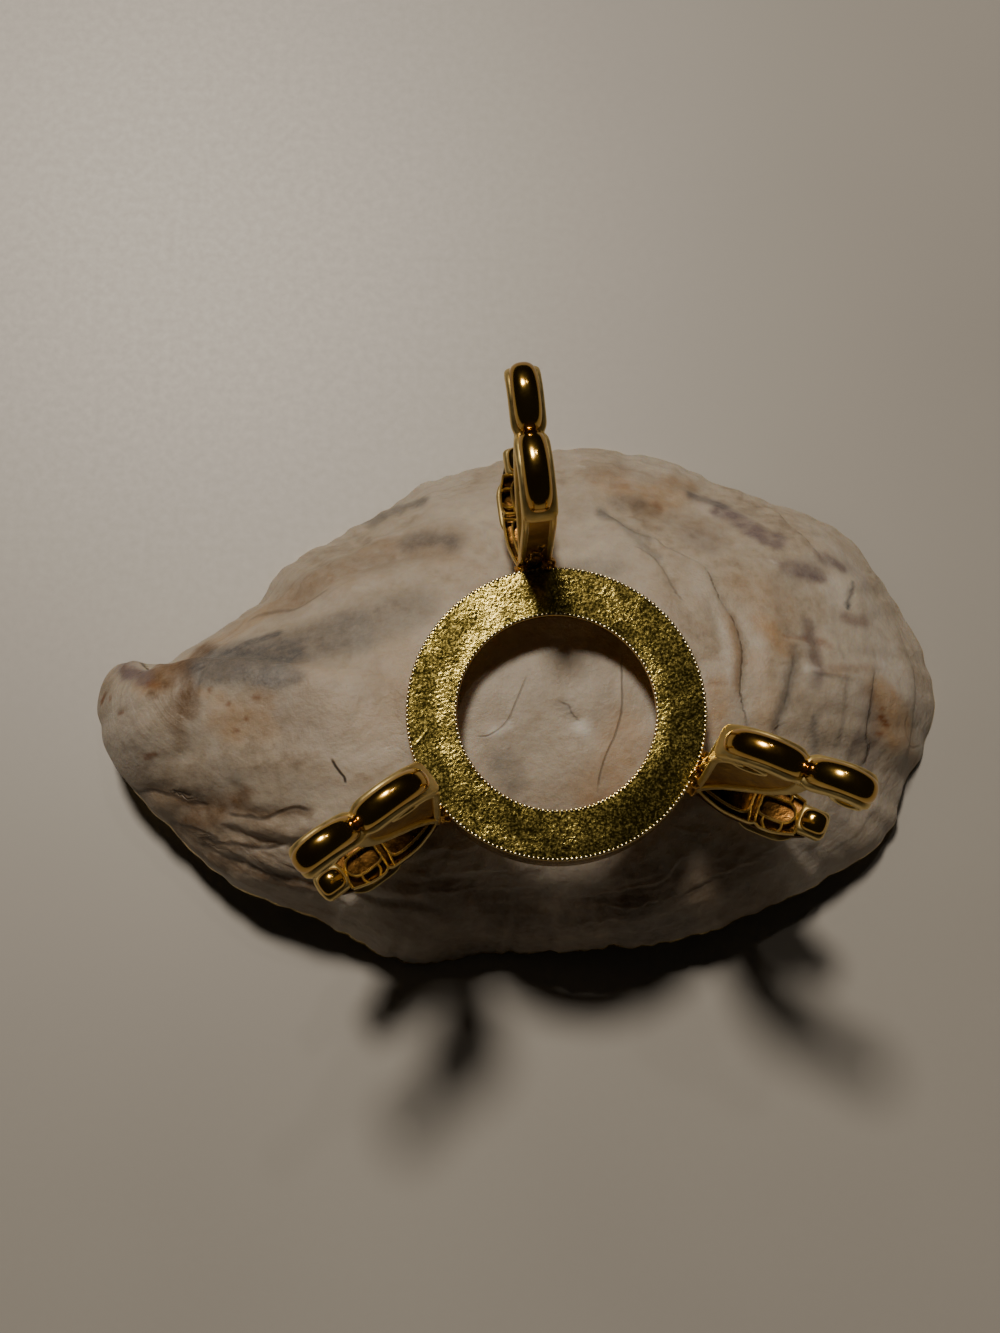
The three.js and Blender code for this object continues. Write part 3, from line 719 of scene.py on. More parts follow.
def buildShell():
    outside, unmoved, growth, outerRim = buildOutside()
    inside, scar, innerRim = buildInside()
    outerLoop = edgeLoop(shellSize["outerCells"])
    innerLoop = edgeLoop(shellSize["outerCells"] // 2)
    innerEdge = np.repeat(inside[innerLoop], 2, axis=0)
    innerEdge[1::2] = (inside[innerLoop] + np.roll(inside[innerLoop], -1, axis=0)) / 2
    rim, beyond = buildRim(outside[outerLoop], innerEdge)
    verts = np.vstack([outside, rim, inside])
    firstRim = len(outside)
    firstInside = firstRim + len(rim)
    faces, outsideCount, rimCount = shellFaces(outerLoop, innerLoop, firstRim, firstInside)
    obj = meshObject("oyster_valve", (verts + (axisX, axisY, 0)) * mm, faces)
    growthAll = np.ones(len(verts))
    growthAll[:len(outside)] = growth
    scarAll = np.zeros(len(verts))
    scarAll[firstInside:] = scar
    rimAll = np.zeros(len(verts))  # how far each point is from the rim's band, in millimetres
    rimAll[:len(outside)] = outerRim
    rimAll[firstRim:firstInside] = beyond
    rimAll[firstInside:] = innerRim
    fields = [("growth", growthAll), ("scar", scarAll), ("fromRim", rimAll)]
    for name, values in stainFields(unmoved).items():
        fields.append((name, np.concatenate([values, np.zeros(len(verts) - len(outside))])))
    for name, values in fields:
        obj.data.attributes.new(name, "FLOAT", "POINT").data.foreach_set("value", values.astype(np.float32))
    index = np.zeros(len(faces), np.int32)
    index[outsideCount:rimCount] = 1
    index[rimCount:] = 2
    obj.data.polygons.foreach_set("material_index", index)
    smoothShade(obj)
    return obj


# finishes of the shell; colours are linear

shellLooks = {
    "body": [(0.0, (0.34, 0.265, 0.19)), (0.35, (0.54, 0.455, 0.355)), (0.6, (0.60, 0.525, 0.435)),
             (1.0, (0.70, 0.615, 0.50))],
    "slate": (0.06, 0.068, 0.082),
    # the umber colour also paints shade on the front flank and in the hollow below the knob
    "umber_and_shade": (0.20, 0.115, 0.055),
    "ochre": (0.52, 0.33, 0.17),
    "rust": (0.25, 0.085, 0.02),
    "mauve": (0.22, 0.165, 0.165),
    # the chalk colour also paints the highlight strips beside the growth steps
    "chalk_and_highlight": (0.84, 0.80, 0.74),
    "ink": (0.05, 0.035, 0.025),
    "crease": (0.34, 0.27, 0.20),
    "gilt": (0.90, 0.68, 0.26),
    # how far the gilding laps over the outside, the edge beside the hinge and the inside, in millimetres
    "giltWidth": (0.14, 0.6, 1.3),
    "rough": (0.38, 0.62),
    # light under the surface: its share, its spread by colour and its reach in millimetres
    "depth": (0.45, (1.0, 0.55, 0.25), 2.0),
    "nacre": [(0.0, (0.58, 0.57, 0.55)), (0.45, (0.74, 0.73, 0.70)), (0.7, (0.78, 0.74, 0.72)),
              (1.0, (0.70, 0.76, 0.74))],
    "tarnish": (0.55, 0.47, 0.36),
    "nacreRough": (0.16, 0.3),
    "scar": (0.33, 0.24, 0.27),
    "edge": [(0.0, (0.22, 0.16, 0.11)), (0.4, (0.50, 0.42, 0.32)), (0.7, (0.62, 0.56, 0.47)),
             (1.0, (0.34, 0.29, 0.24))],
    "edgeRough": (0.35, 0.6),
    "relief": (0.14, 0.1, 0.08),  # depth of the bump outside, on the edge and inside, in millimetres
}


def feed(links, socket, value):
    if isinstance(value, bpy.types.NodeSocket):
        links.new(value, socket)
    elif isinstance(value, tuple) and len(value) == 3 and socket.type == "RGBA":
        socket.default_value = (*value, 1)
    else:
        socket.default_value = value


def objectPlace(nodes):
    return nodes.new("ShaderNodeTexCoord").outputs["Object"]


def noiseNode(nodes, links, place, size, detail=2.0, rough=0.55, bend=0.0):
    # `size` is in millimetres
    node = nodes.new("ShaderNodeTexNoise")
    links.new(place, node.inputs["Vector"])
    node.inputs["Scale"].default_value = 1000 / size
    node.inputs["Detail"].default_value = detail
    node.inputs["Roughness"].default_value = rough
    node.inputs["Distortion"].default_value = bend
    return node.outputs["Fac"]


def remap(nodes, links, value, low, high, start=0.0, end=1.0):
    node = nodes.new("ShaderNodeMapRange")
    links.new(value, node.inputs["Value"])
    for label, number in (("From Min", low), ("From Max", high), ("To Min", start), ("To Max", end)):
        node.inputs[label].default_value = number
    return node.outputs[0]


def combine(nodes, links, operation, a, b):
    node = nodes.new("ShaderNodeMath")
    node.operation = operation
    feed(links, node.inputs[0], a)
    feed(links, node.inputs[1], b)
    return node.outputs[0]


def ramp(nodes, links, value, stops):
    node = nodes.new("ShaderNodeValToRGB")
    links.new(value, node.inputs["Fac"])
    while len(node.color_ramp.elements) < len(stops):
        node.color_ramp.elements.new(0.5)
    for element, (position, colour) in zip(node.color_ramp.elements, stops):
        element.position = position
        element.color = (*colour, 1)
    return node.outputs["Color"]


def blend(nodes, links, amount, a, b):
    node = nodes.new("ShaderNodeMix")
    node.data_type = "RGBA"
    feed(links, node.inputs[0], amount)
    feed(links, node.inputs[6], a)
    feed(links, node.inputs[7], b)
    return node.outputs[2]


def field(nodes, name):
    node = nodes.new("ShaderNodeAttribute")
    node.attribute_name = name
    return node.outputs["Fac"]


def bumped(nodes, links, shader, height, distance, strength=1.0):
    node = nodes.new("ShaderNodeBump")
    links.new(height, node.inputs["Height"])
    node.inputs["Distance"].default_value = distance * mm
    node.inputs["Strength"].default_value = strength
    links.new(node.outputs["Normal"], shader.inputs["Normal"])


def stretched(nodes, links, place, scale, turn=(0, 0, 0)):
    node = nodes.new("ShaderNodeMapping")
    links.new(place, node.inputs["Vector"])
    node.inputs["Scale"].default_value = scale
    node.inputs["Rotation"].default_value = [math.radians(t) for t in turn]
    return node.outputs["Vector"]


def gilded(nodes, links, place, shader, colour, rough, width):
    # thin gold along the rim, with a ragged edge
    ragged = remap(nodes, links, noiseNode(nodes, links, place, 2.2, 4, 0.65), 0.35, 0.65, 0, width)
    reach = combine(nodes, links, "SUBTRACT", field(nodes, "fromRim"), ragged)
    gilt = remap(nodes, links, reach, 0.04, -0.02)
    links.new(blend(nodes, links, gilt, colour, shellLooks["gilt"]), shader.inputs["Base Color"])
    links.new(gilt, shader.inputs["Metallic"])
    smoother = combine(nodes, links, "MULTIPLY", rough, remap(nodes, links, gilt, 0, 1, 1.0, 0.5))
    links.new(smoother, shader.inputs["Roughness"])


def chalkyOutside():
    looks = shellLooks
    mat, nodes, links, shader = newMaterial("chalky shell")
    place = objectPlace(nodes)
    cloudy = noiseNode(nodes, links, place, 11, 5, 0.55, 0.4)
    fine = noiseNode(nodes, links, place, 1.3, 4, 0.6)
    body = combine(nodes, links, "ADD", remap(nodes, links, cloudy, 0.28, 0.72, 0, 0.8),
                   remap(nodes, links, fine, 0.3, 0.7, -0.08, 0.24))
    colour = ramp(nodes, links, body, looks["body"])
    # faint bands that follow the growth lines
    bands = nodes.new("ShaderNodeTexNoise")
    bands.noise_dimensions = "1D"
    waved = combine(nodes, links, "MULTIPLY", cloudy, 0.12)
    links.new(combine(nodes, links, "ADD", field(nodes, "growth"), waved), bands.inputs["W"])
    bands.inputs["Scale"].default_value = 22
    bands.inputs["Detail"].default_value = 3
    patchy = remap(nodes, links, noiseNode(nodes, links, place, 9, 2), 0.46, 0.62)
    faint = remap(nodes, links, bands.outputs["Fac"], 0.52, 0.72, 0, 0.4)
    colour = blend(nodes, links, combine(nodes, links, "MULTIPLY", patchy, faint), colour, looks["crease"])
    speckled = remap(nodes, links, noiseNode(nodes, links, place, 0.5, 3, 0.7), 0.3, 0.62, 0.75, 1.0)
    # stain colours laid over the body; some umber marks are painted shade and two chalk marks are painted
    # highlight
    for name in ("chalk_and_highlight", "ochre", "umber_and_shade", "mauve", "slate", "rust"):
        amount = combine(nodes, links, "MULTIPLY", field(nodes, name), speckled)
        colour = blend(nodes, links, amount, colour, looks[name])
    fromLine = combine(nodes, links, "ABSOLUTE", field(nodes, "across"), 0.0)
    ink = combine(nodes, links, "MULTIPLY", field(nodes, "ink"), remap(nodes, links, fromLine, 2.0, 0.4))
    colour = blend(nodes, links, ink, colour, looks["ink"])
    rough = remap(nodes, links, fine, 0.3, 0.7, *looks["rough"])
    gilded(nodes, links, place, shader, colour, rough, looks["giltWidth"][0])
    share, spread, reach = looks["depth"]
    shader.inputs["Subsurface Weight"].default_value = share
    shader.inputs["Subsurface Radius"].default_value = spread
    shader.inputs["Subsurface Scale"].default_value = reach * mm
    relief = combine(nodes, links, "ADD", noiseNode(nodes, links, place, 0.7, 5, 0.62),
                     combine(nodes, links, "MULTIPLY", patchy, bands.outputs["Fac"]))
    bumped(nodes, links, shader, combine(nodes, links, "SUBTRACT", relief, ink), looks["relief"][0])
    return mat


def layeredRim():
    looks = shellLooks
    mat, nodes, links, shader = newMaterial("shell edge")
    place = objectPlace(nodes)
    layers = noiseNode(nodes, links, stretched(nodes, links, place, (0.25, 0.25, 3.2)), 1.4, 4, 0.6, 0.6)
    colour = ramp(nodes, links, remap(nodes, links, layers, 0.3, 0.7), looks["edge"])
    rough = remap(nodes, links, layers, 0.3, 0.7, *looks["edgeRough"])
    gilded(nodes, links, place, shader, colour, rough, looks["giltWidth"][1])
    bumped(nodes, links, shader, layers, looks["relief"][1])
    return mat


def pearlyInside():
    looks = shellLooks
    mat, nodes, links, shader = newMaterial("nacre")
    place = objectPlace(nodes)
    cloudy = noiseNode(nodes, links, place, 16, 4, 0.5, 1.2)
    fine = noiseNode(nodes, links, place, 2.4, 3, 0.6)
    colour = ramp(nodes, links, remap(nodes, links, cloudy, 0.3, 0.7), looks["nacre"])
    mottled = remap(nodes, links, fine, 0.25, 0.7, 0.45, 0.9)
    scar = combine(nodes, links, "MULTIPLY", field(nodes, "scar"), mottled)
    colour = blend(nodes, links, scar, colour, looks["scar"])
    colour = blend(nodes, links, remap(nodes, links, fine, 0.6, 0.75, 0, 0.35), colour, looks["tarnish"])
    rough = remap(nodes, links, fine, 0.3, 0.7, *looks["nacreRough"])
    gilded(nodes, links, place, shader, colour, rough, looks["giltWidth"][2])
    shader.inputs["Coat Weight"].default_value = 0.3
    shader.inputs["Coat Roughness"].default_value = 0.15
    bumped(nodes, links, shader, fine, looks["relief"][2])
    return mat


shell = buildShell()
for m in (chalkyOutside(), layeredRim(), pearlyInside()):
    shell.data.materials.append(m)
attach(shell, "root")
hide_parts("oyster_shell")
print("shell", len(shell.data.polygons))

# the ring

ringSize = {
    "inner": 10.6,
    "lip": 0.7,  # the upright edge of the hole, above the seat's cone
    "foot": 0.8,  # the flat under the wall
    "segments": 900,
    "faceRows": 44,
    "crowned": 0.015,  # how far the face's edges lie under its middle
    "grain": 0.0085,
    "grainSize": 0.30,
    "edgeRound": 0.18,
    # the face leans a little beside the hole: the way it leans, its reach from the hole and its slope there
    "lean": (133, 2.2, 0.035),
    "scratch": ((-15.2, -4.1), (-13.6, -2.0)),
    "scratchRidge": (0.02, 0.1),  # its height and half width
    # where the grain is coarser, or smoother if negative: from and to in degrees, radius, half width
    # and change
    "grainBands": [(100, 128, 13.6, 2.6, 1.1), (125, 235, 11.8, 1.3, 0.7), (-30, 36, 11.4, 0.9, 0.7),
                   (262, 280, 13.8, 1.8, 0.8), (225, 258, 14.8, 0.9, 0.7), (40, 88, 13.6, 2.0, 0.35),
                   (90, 99, 13.4, 4.0, -0.9), (298, 334, 14.0, 2.0, -0.6)],
    "wallGrain": 0.3,
}
ringSize["outer"] = (ringHigh.x - ringLow.x) / 2 / mm
ringSize["wall"] = (ringHigh.z - ringLow.z) / mm

beadSize = {
    "counts": {"outer": 200, "inner": 136},
    "radius": 0.19,
    "height": 0.03,
    "fromEdge": 0.14,
    "unevenness": 0.2,
    "seed": 7,
}


def ringProfile():
    # radius, height under the ring's top and whether the point is on the grained face
    s = ringSize
    inner, outer, r = s["inner"], s["outer"], s["edgeRound"]
    rows = [(inner, s["lip"], 0), (inner, r + 0.15, 0), (inner, r, 0)]
    rows += [(inner + r - r * math.cos(t), r - r * math.sin(t), 0) for t in (0.5, 1.0)]
    for share in np.linspace(0, 1, s["faceRows"]):
        rows.append((inner + r + (outer - inner - 2 * r) * share, 0.0, 1))
    rows += [(outer - r + r * math.sin(t), r - r * math.cos(t), 0) for t in (0.6, 1.1)]
    wall, foot = s["wall"], outer - s["foot"]
    rows += [(outer, r, 0), (outer, r + 0.15, 0), (outer, wall / 2, 0), (outer, wall - 0.2, 0)]
    rows += [(outer - 0.06, wall - 0.06, 0), (outer - 0.2, wall, 0)]
    rows += [(foot + 0.05, wall, 0), (foot, wall - 0.06, 0)]
    for share in (0.3, 0.6, 0.9):  # up the seat's cone
        rows.append((foot + (inner - foot) * share, wall + (s["lip"] - wall) * share, 0))
    return rows


def grainRound(radius, turn, points):
    # how coarse the grain is along one row of the face
    coarse = np.ones(len(turn))
    for start, end, at, half, gain in ringSize["grainBands"]:
        centre, spread = (start + end) / 2, (end - start) / 2
        away = abs((np.degrees(turn) - centre + 180) % 360 - 180)
        soft = min(8, spread * 0.6)
        inBand = smooth(spread + soft, spread - soft, away)
        coarse += gain * inBand * math.exp(-((radius - at) / half) ** 4)
    return coarse * (0.75 + 0.5 * smooth(-0.4, 0.4, noiseField(points, 2.2, 43, 2)))


def scratchHeight(x, y):
    (ax, ay), (bx, by) = ringSize["scratch"]
    ridge, half = ringSize["scratchRidge"]
    t = np.clip(((x - ax) * (bx - ax) + (y - ay) * (by - ay)) / ((bx - ax) ** 2 + (by - ay) ** 2), 0, 1)
    away = np.hypot(x - ax - t * (bx - ax), y - ay - t * (by - ay))
    return ridge * np.exp(-(away / half) ** 2) * smooth(0, 0.3, t) * smooth(1.02, 0.8, t)


def faceHeight(radius, turn, points, coarse):
    # one row of the face: crowned, leaning beside the hole, grained and a little uneven
    s = ringSize
    middle = (s["inner"] + s["outer"]) / 2
    share = (radius - middle) / (s["outer"] - middle)
    way, reach, slope = s["lean"]
    near = max(0, 1 - (radius - s["inner"]) / reach)
    fade = 1 - share ** 8
    height = slope * reach / 2 * near ** 2 * np.cos(turn - math.radians(way)) - s["crowned"] * share ** 2
    height += fade * s["grain"] * coarse * noiseField(points, s["grainSize"], 41, 2)
    height += fade * 0.022 * noiseField(points, 3.0, 42)
    return height + scratchHeight(points[:, 0], points[:, 1])


def edgeHeight(radius, down, turn):
    # the rounded edges follow the face where they meet it
    s = ringSize
    height = np.zeros(len(turn))
    byHole, byRim = radius < s["inner"] + 0.5, radius > s["outer"] - 0.5
    if down < 0.4 and (byHole or byRim):
        height -= s["crowned"]
    if down < 0.4 and byHole:
        way, reach, slope = s["lean"]
        height += slope * reach / 2 * np.cos(turn - math.radians(way))
    return height


def buildRing():
    rows = ringProfile()
    count = ringSize["segments"]
    turn = np.arange(count) * 2 * math.pi / count
    verts, graining = [], []
    for radius, down, grained in rows:
        points = np.stack([radius * np.cos(turn), radius * np.sin(turn), np.full(count, -down)], axis=1)
        coarse = grainRound(radius, turn, points) if grained else np.full(count, ringSize["wallGrain"])
        if grained:
            rise = faceHeight(radius, turn, points, coarse)
        else:
            rise = edgeHeight(radius, down, turn)
        verts.append(points + np.stack([rise * 0, rise * 0, rise], axis=1))
        graining.append(coarse)
    faces = []
    for row in range(len(rows)):
        a = row * count + np.arange(count)
        b = ((row + 1) % len(rows)) * count + np.arange(count)
        faces += np.stack([a, b, np.roll(b, -1), np.roll(a, -1)], axis=1).tolist()
    obj = meshObject("ring_casting", (np.vstack(verts) + (axisX, axisY, ringTop)) * mm, faces)
    values = np.concatenate(graining).astype(np.float32)
    obj.data.attributes.new("graining", "FLOAT", "POINT").data.foreach_set("value", values)
    onFace = [rows[row][2] and rows[(row + 1) % len(rows)][2] for row in range(len(rows))]
    index = np.repeat([0 if flat else 1 for flat in onFace], count).astype(np.int32)
    obj.data.polygons.foreach_set("material_index", index)
    smoothShade(obj)
    return obj


# node trees that repeat small pieces

def newTree(name, sizes):
    tree = bpy.data.node_groups.new(name, "GeometryNodeTree")
    tree.interface.new_socket(name="Geometry", in_out="INPUT", socket_type="NodeSocketGeometry")
    kinds = {float: "NodeSocketFloat", int: "NodeSocketInt", bpy.types.Material: "NodeSocketMaterial"}
    ids = {}
    for label, kind in sizes:
        ids[label] = tree.interface.new_socket(name=label, in_out="INPUT", socket_type=kinds[kind]).identifier
    tree.interface.new_socket(name="Geometry", in_out="OUTPUT", socket_type="NodeSocketGeometry")
    return tree, ids, tree.nodes.new("NodeGroupInput"), tree.nodes.new("NodeGroupOutput")


def realized(obj, name):
    # the evaluated result of an object's modifiers, as a plain mesh
    bpy.context.view_layer.update()
    graph = bpy.context.evaluated_depsgraph_get()
    mesh = bpy.data.meshes.new_from_object(obj.evaluated_get(graph))
    mesh.name = name
    out = bpy.data.objects.new(name, mesh)
    bpy.context.scene.collection.objects.link(out)
    bpy.data.objects.remove(obj)
    return out


def treeObject(name, tree, ids, values, verts=((0, 0, 0),), edges=()):
    mesh = bpy.data.meshes.new(name)
    mesh.from_pydata([tuple(v) for v in verts], list(edges), [])
    obj = bpy.data.objects.new(name, mesh)
    bpy.context.scene.collection.objects.link(obj)
    mod = obj.modifiers.new("nodes", "NODES")
    mod.node_group = tree
    for label, value in values.items():
        mod[ids[label]] = value
    return realized(obj, name)


def beadTree():
    # beads round a circle, each a little different in size
    tree, ids, given, result = newTree("edge beads", [
        ("Circle radius", float), ("Bead count", int), ("Bead radius", float), ("Height", float),
        ("Unevenness", float), ("Seed", int), ("Metal", bpy.types.Material)])
    new, link = tree.nodes.new, tree.links.new
    circle = new("GeometryNodeMeshCircle")
    link(given.outputs["Bead count"], circle.inputs["Vertices"])
    link(given.outputs["Circle radius"], circle.inputs["Radius"])
    ball = new("GeometryNodeMeshUVSphere")
    ball.inputs["Segments"].default_value = 8
    ball.inputs["Rings"].default_value = 6
    link(given.outputs["Bead radius"], ball.inputs["Radius"])
    spread = new("FunctionNodeRandomValue")
    link(given.outputs["Seed"], spread.inputs["Seed"])
    low, high = new("ShaderNodeMath"), new("ShaderNodeMath")
    low.operation, high.operation = "SUBTRACT", "ADD"
    for node in (low, high):
        node.inputs[0].default_value = 1.0
        link(given.outputs["Unevenness"], node.inputs[1])
    link(low.outputs[0], spread.inputs[2])
    link(high.outputs[0], spread.inputs[3])
    place = new("GeometryNodeInstanceOnPoints")
    link(circle.outputs["Mesh"], place.inputs["Points"])
    link(ball.outputs["Mesh"], place.inputs["Instance"])
    link(spread.outputs[1], place.inputs["Scale"])
    lift = new("ShaderNodeCombineXYZ")
    link(given.outputs["Height"], lift.inputs["Z"])
    move = new("GeometryNodeTransform")
    link(place.outputs["Instances"], move.inputs["Geometry"])
    link(lift.outputs[0], move.inputs["Translation"])
    move.inputs["Scale"].default_value = (1, 1, 0.45)  # pressed nearly flat
    whole = new("GeometryNodeRealizeInstances")
    link(move.outputs[0], whole.inputs[0])
    paint = new("GeometryNodeSetMaterial")
    link(whole.outputs[0], paint.inputs["Geometry"])
    link(given.outputs["Metal"], paint.inputs["Material"])
    link(paint.outputs[0], result.inputs[0])
    return tree, ids


def ribTree():
    # a round rib along each path, which can be made taller than it is wide
    tree, ids, given, result = newTree("ribs", [
        ("Rib radius", float), ("Sides", int), ("Height stretch", float), ("Metal", bpy.types.Material)])
    new, link = tree.nodes.new, tree.links.new
    squeeze, restore = new("GeometryNodeTransform"), new("GeometryNodeTransform")
    inverse = new("ShaderNodeMath")
    inverse.operation = "DIVIDE"
    inverse.inputs[0].default_value = 1.0
    link(given.outputs["Height stretch"], inverse.inputs[1])
    for node, source in ((squeeze, inverse.outputs[0]), (restore, given.outputs["Height stretch"])):
        scale = new("ShaderNodeCombineXYZ")
        scale.inputs["X"].default_value = scale.inputs["Y"].default_value = 1.0
        link(source, scale.inputs["Z"])
        link(scale.outputs[0], node.inputs["Scale"])
    path = new("GeometryNodeMeshToCurve")
    tube = new("GeometryNodeCurveToMesh")
    tube.inputs["Fill Caps"].default_value = True
    section = new("GeometryNodeCurvePrimitiveCircle")
    link(given.outputs["Sides"], section.inputs["Resolution"])
    link(given.outputs["Rib radius"], section.inputs["Radius"])
    whole = new("GeometryNodeRealizeInstances")
    paint = new("GeometryNodeSetMaterial")
    link(given.outputs["Geometry"], squeeze.inputs["Geometry"])
    link(squeeze.outputs[0], path.inputs["Mesh"])
    link(path.outputs[0], tube.inputs["Curve"])
    link(section.outputs[0], tube.inputs["Profile Curve"])
    link(tube.outputs[0], restore.inputs["Geometry"])
    link(restore.outputs[0], whole.inputs[0])
    link(whole.outputs[0], paint.inputs["Geometry"])
    link(given.outputs["Metal"], paint.inputs["Material"])
    link(paint.outputs[0], result.inputs[0])
    return tree, ids


# one leg, made in its own plane: outwards from the ring's axis, across, and up from the ring's top face

legSize = {
    "width": 3.7,
    # the notch between heel and toe: the foot's width there as a share of the full width, then its place
    # and length as shares of the foot
    "notch": (0.8, 0.55, 0.045),
    "lobeMargin": 0.75,  # how much narrower the lobes are than the foot
    "lobeShape": (4.0, 2.3),  # how blunt their ends are, and how square their section
    "footPath": [(16.9, 13.9), (17.5, 15.3), (19.2, 16.7), (21.5, 17.4), (23.6, 17.1), (25.2, 16.3),
                 (26.9, 17.2), (28.8, 18.1), (30.5, 18.0), (31.4, 17.2), (31.5, 16.4)],
    "footHalf": 0.8,
    "heelPath": [(17.35, 15.3), (18.9, 17.0), (21.2, 17.8), (23.6, 17.5), (25.0, 16.5)],
    "toePath": [(25.5, 16.6), (27.0, 18.0), (28.9, 18.7), (30.8, 18.3), (31.8, 17.0)],
    "lobeHeight": (1.35, 1.3),
    "bead": (25.25, 17.35),
    "panel": [(16.6, -2.8), (16.7, 6.0), (17.0, 13.2), (19.0, 15.6), (22.0, 16.2), (25.3, 15.4),
              (24.9, 12.0), (23.3, 8.4), (21.2, 5.7), (18.8, 2.6), (17.3, -1.0), (17.0, -2.8)],
    "innerFrame": [(16.8, -3.4), (16.9, 3.0), (16.9, 9.0), (17.0, 12.6), (18.0, 14.6), (19.6, 15.4)],
    "outerFrame": [(16.9, -3.6), (17.3, -1.3), (18.9, 2.4), (21.3, 5.5), (23.4, 8.2), (25.0, 11.8),
                   (25.6, 15.4)],
    "curls": [
        [(18.2, 14.3), (19.0, 15.2), (20.6, 15.2), (21.9, 14.4), (21.0, 13.6), (19.4, 13.4), (18.2, 14.3)],
        [(28.2, 16.6), (28.9, 15.4), (30.2, 14.9), (31.4, 15.5), (31.5, 16.6)],
    ],
    # solder at the root: each lump's middle, its radius each way and how uneven it is
    "solder": [((16.3, 0.0, -2.2), (1.0, 2.3, 1.8), 0.3), ((16.4, 1.2, -0.8), (0.8, 1.0, 1.6), 0.4),
               ((16.3, -1.2, -0.3), (0.8, 1.0, 1.3), 0.4), ((16.6, 0.2, 1.8), (0.5, 0.9, 2.6), 0.4),
               ((16.9, -0.4, 4.6), (0.35, 0.6, 2.2), 0.4)],
    "azimuths": {"back": 97.6, "left": 217.0, "right": 337.6},
    "sharpFrom": 40,  # edges that turn further than this, in degrees, stay sharp
}

leafSize = {
    "middle": [(16.6, -3.9), (18.5, -4.1), (21.0, -4.9), (25.0, -5.3), (28.5, -4.7), (29.4, -4.3)],
    "width": [(0, 1.6), (0.15, 2.1), (0.35, 2.5), (0.62, 2.4), (0.86, 2.1), (1, 1.5)],
    "depth": 0.72,
    "lower": [(21.0, -5.6), (24.0, -5.95), (27.0, -5.8), (29.0, -5.2)],  # a thin layer beyond the upper one
    "ribTop": [(16.6, -2.9), (18.5, -2.8), (21.0, -3.6), (25.0, -4.1), (28.5, -3.5), (29.4, -3.2)],
    # ribs on the upper side, given from above as distance out and across; each is mirrored
    "ribs": [
        [(17.2, 1.6), (18.4, 2.1), (20.4, 2.5), (23.2, 2.5), (23.9, 2.25), (24.6, 2.5), (26.2, 2.45),
         (28.2, 1.9)],
        [(17.4, 1.0), (19.2, 1.5), (21.4, 1.7), (22.6, 1.5), (22.9, 0.8), (22.9, 0.0)],
        [(23.8, 0.0), (23.8, 0.8), (24.5, 1.15), (26.6, 1.15), (27.4, 0.7), (27.7, 0.0)],
        [(22.9, 0.8), (23.1, 1.7), (23.2, 2.45)],
        [(23.8, 0.8), (23.8, 1.6), (23.9, 2.2)],
        [(24.6, 1.15), (24.6, 1.8), (25.1, 2.4)],
        [(26.6, 1.15), (26.7, 1.8), (26.4, 2.4)],
        [(27.7, 0.0), (28.1, 0.8), (28.2, 1.8)],
    ],
    "block": [(27.9, -3.9), (29.4, -3.6), (31.3, -3.9)],
    "blockWidth": 3.2,
    "blockPillow": [(28.3, -3.0), (29.6, -2.5), (31.0, -2.9)],
}


def along(table, share):
    return np.interp(share, [row[0] for row in table], [row[1] for row in table])


def sweepSolid(name, path, wide, high, square, material, sides=36, steps=10):
    # a closed solid along a path in the leg's plane, with a rounded-square section that can taper
    line = curveThrough(path, steps)
    tangent = np.gradient(line, axis=0)
    tangent /= np.linalg.norm(tangent, axis=1, keepdims=True)
    run = np.concatenate([[0], np.cumsum(np.linalg.norm(np.diff(line, axis=0), axis=1))])
    share = run / run[-1]
    w, h = wide(share), high(share)
    turn = np.arange(sides) * 2 * math.pi / sides
    c = np.sign(np.cos(turn)) * abs(np.cos(turn)) ** (2 / square)
    d = np.sign(np.sin(turn)) * abs(np.sin(turn)) ** (2 / square)
    verts = []
    for i in range(len(line)):
        out = line[i, 0] - tangent[i, 1] * h[i] * d
        up = line[i, 1] + tangent[i, 0] * h[i] * d
        verts.append(np.stack([out, w[i] * c, up], axis=1))
    verts = np.vstack(verts + [[(line[0, 0], 0, line[0, 1])], [(line[-1, 0], 0, line[-1, 1])]])
    faces = []
    for i in range(len(line) - 1):
        a, b = i * sides + np.arange(sides), (i + 1) * sides + np.arange(sides)
        faces += np.stack([a, np.roll(a, -1), np.roll(b, -1), b], axis=1).tolist()
    first, last = len(verts) - 2, len(verts) - 1
    end = (len(line) - 1) * sides
    for k in range(sides):
        n = (k + 1) % sides
        faces += [[first, n, k], [last, end + k, end + n]]
    obj = meshObject(name, verts, faces)
    obj.data.materials.append(material)
    return obj


def bandSolid(name, path, width, high, material, ends, square):
    # a band of even width with quickly rounded ends
    def taper(share):
        edge = np.clip(np.minimum(share, 1 - share) / ends, 0, 1)
        return np.sqrt(np.maximum(0.02, 1 - (1 - edge) ** 2))
    return sweepSolid(name, path, lambda q: width / 2 * taper(q), lambda q: high * taper(q), square, material)


def pillowSolid(name, path, width, high, material, blunt=3.4, square=2.4):
    # a lobe that swells to its middle
    def swell(share):
        return np.maximum(0.02, 1 - abs(2 * share - 1) ** blunt) ** (1 / blunt)
    return sweepSolid(name, path, lambda q: width / 2 * swell(q), lambda q: high * swell(q) ** 1.3, square,
                      material, sides=48, steps=16)


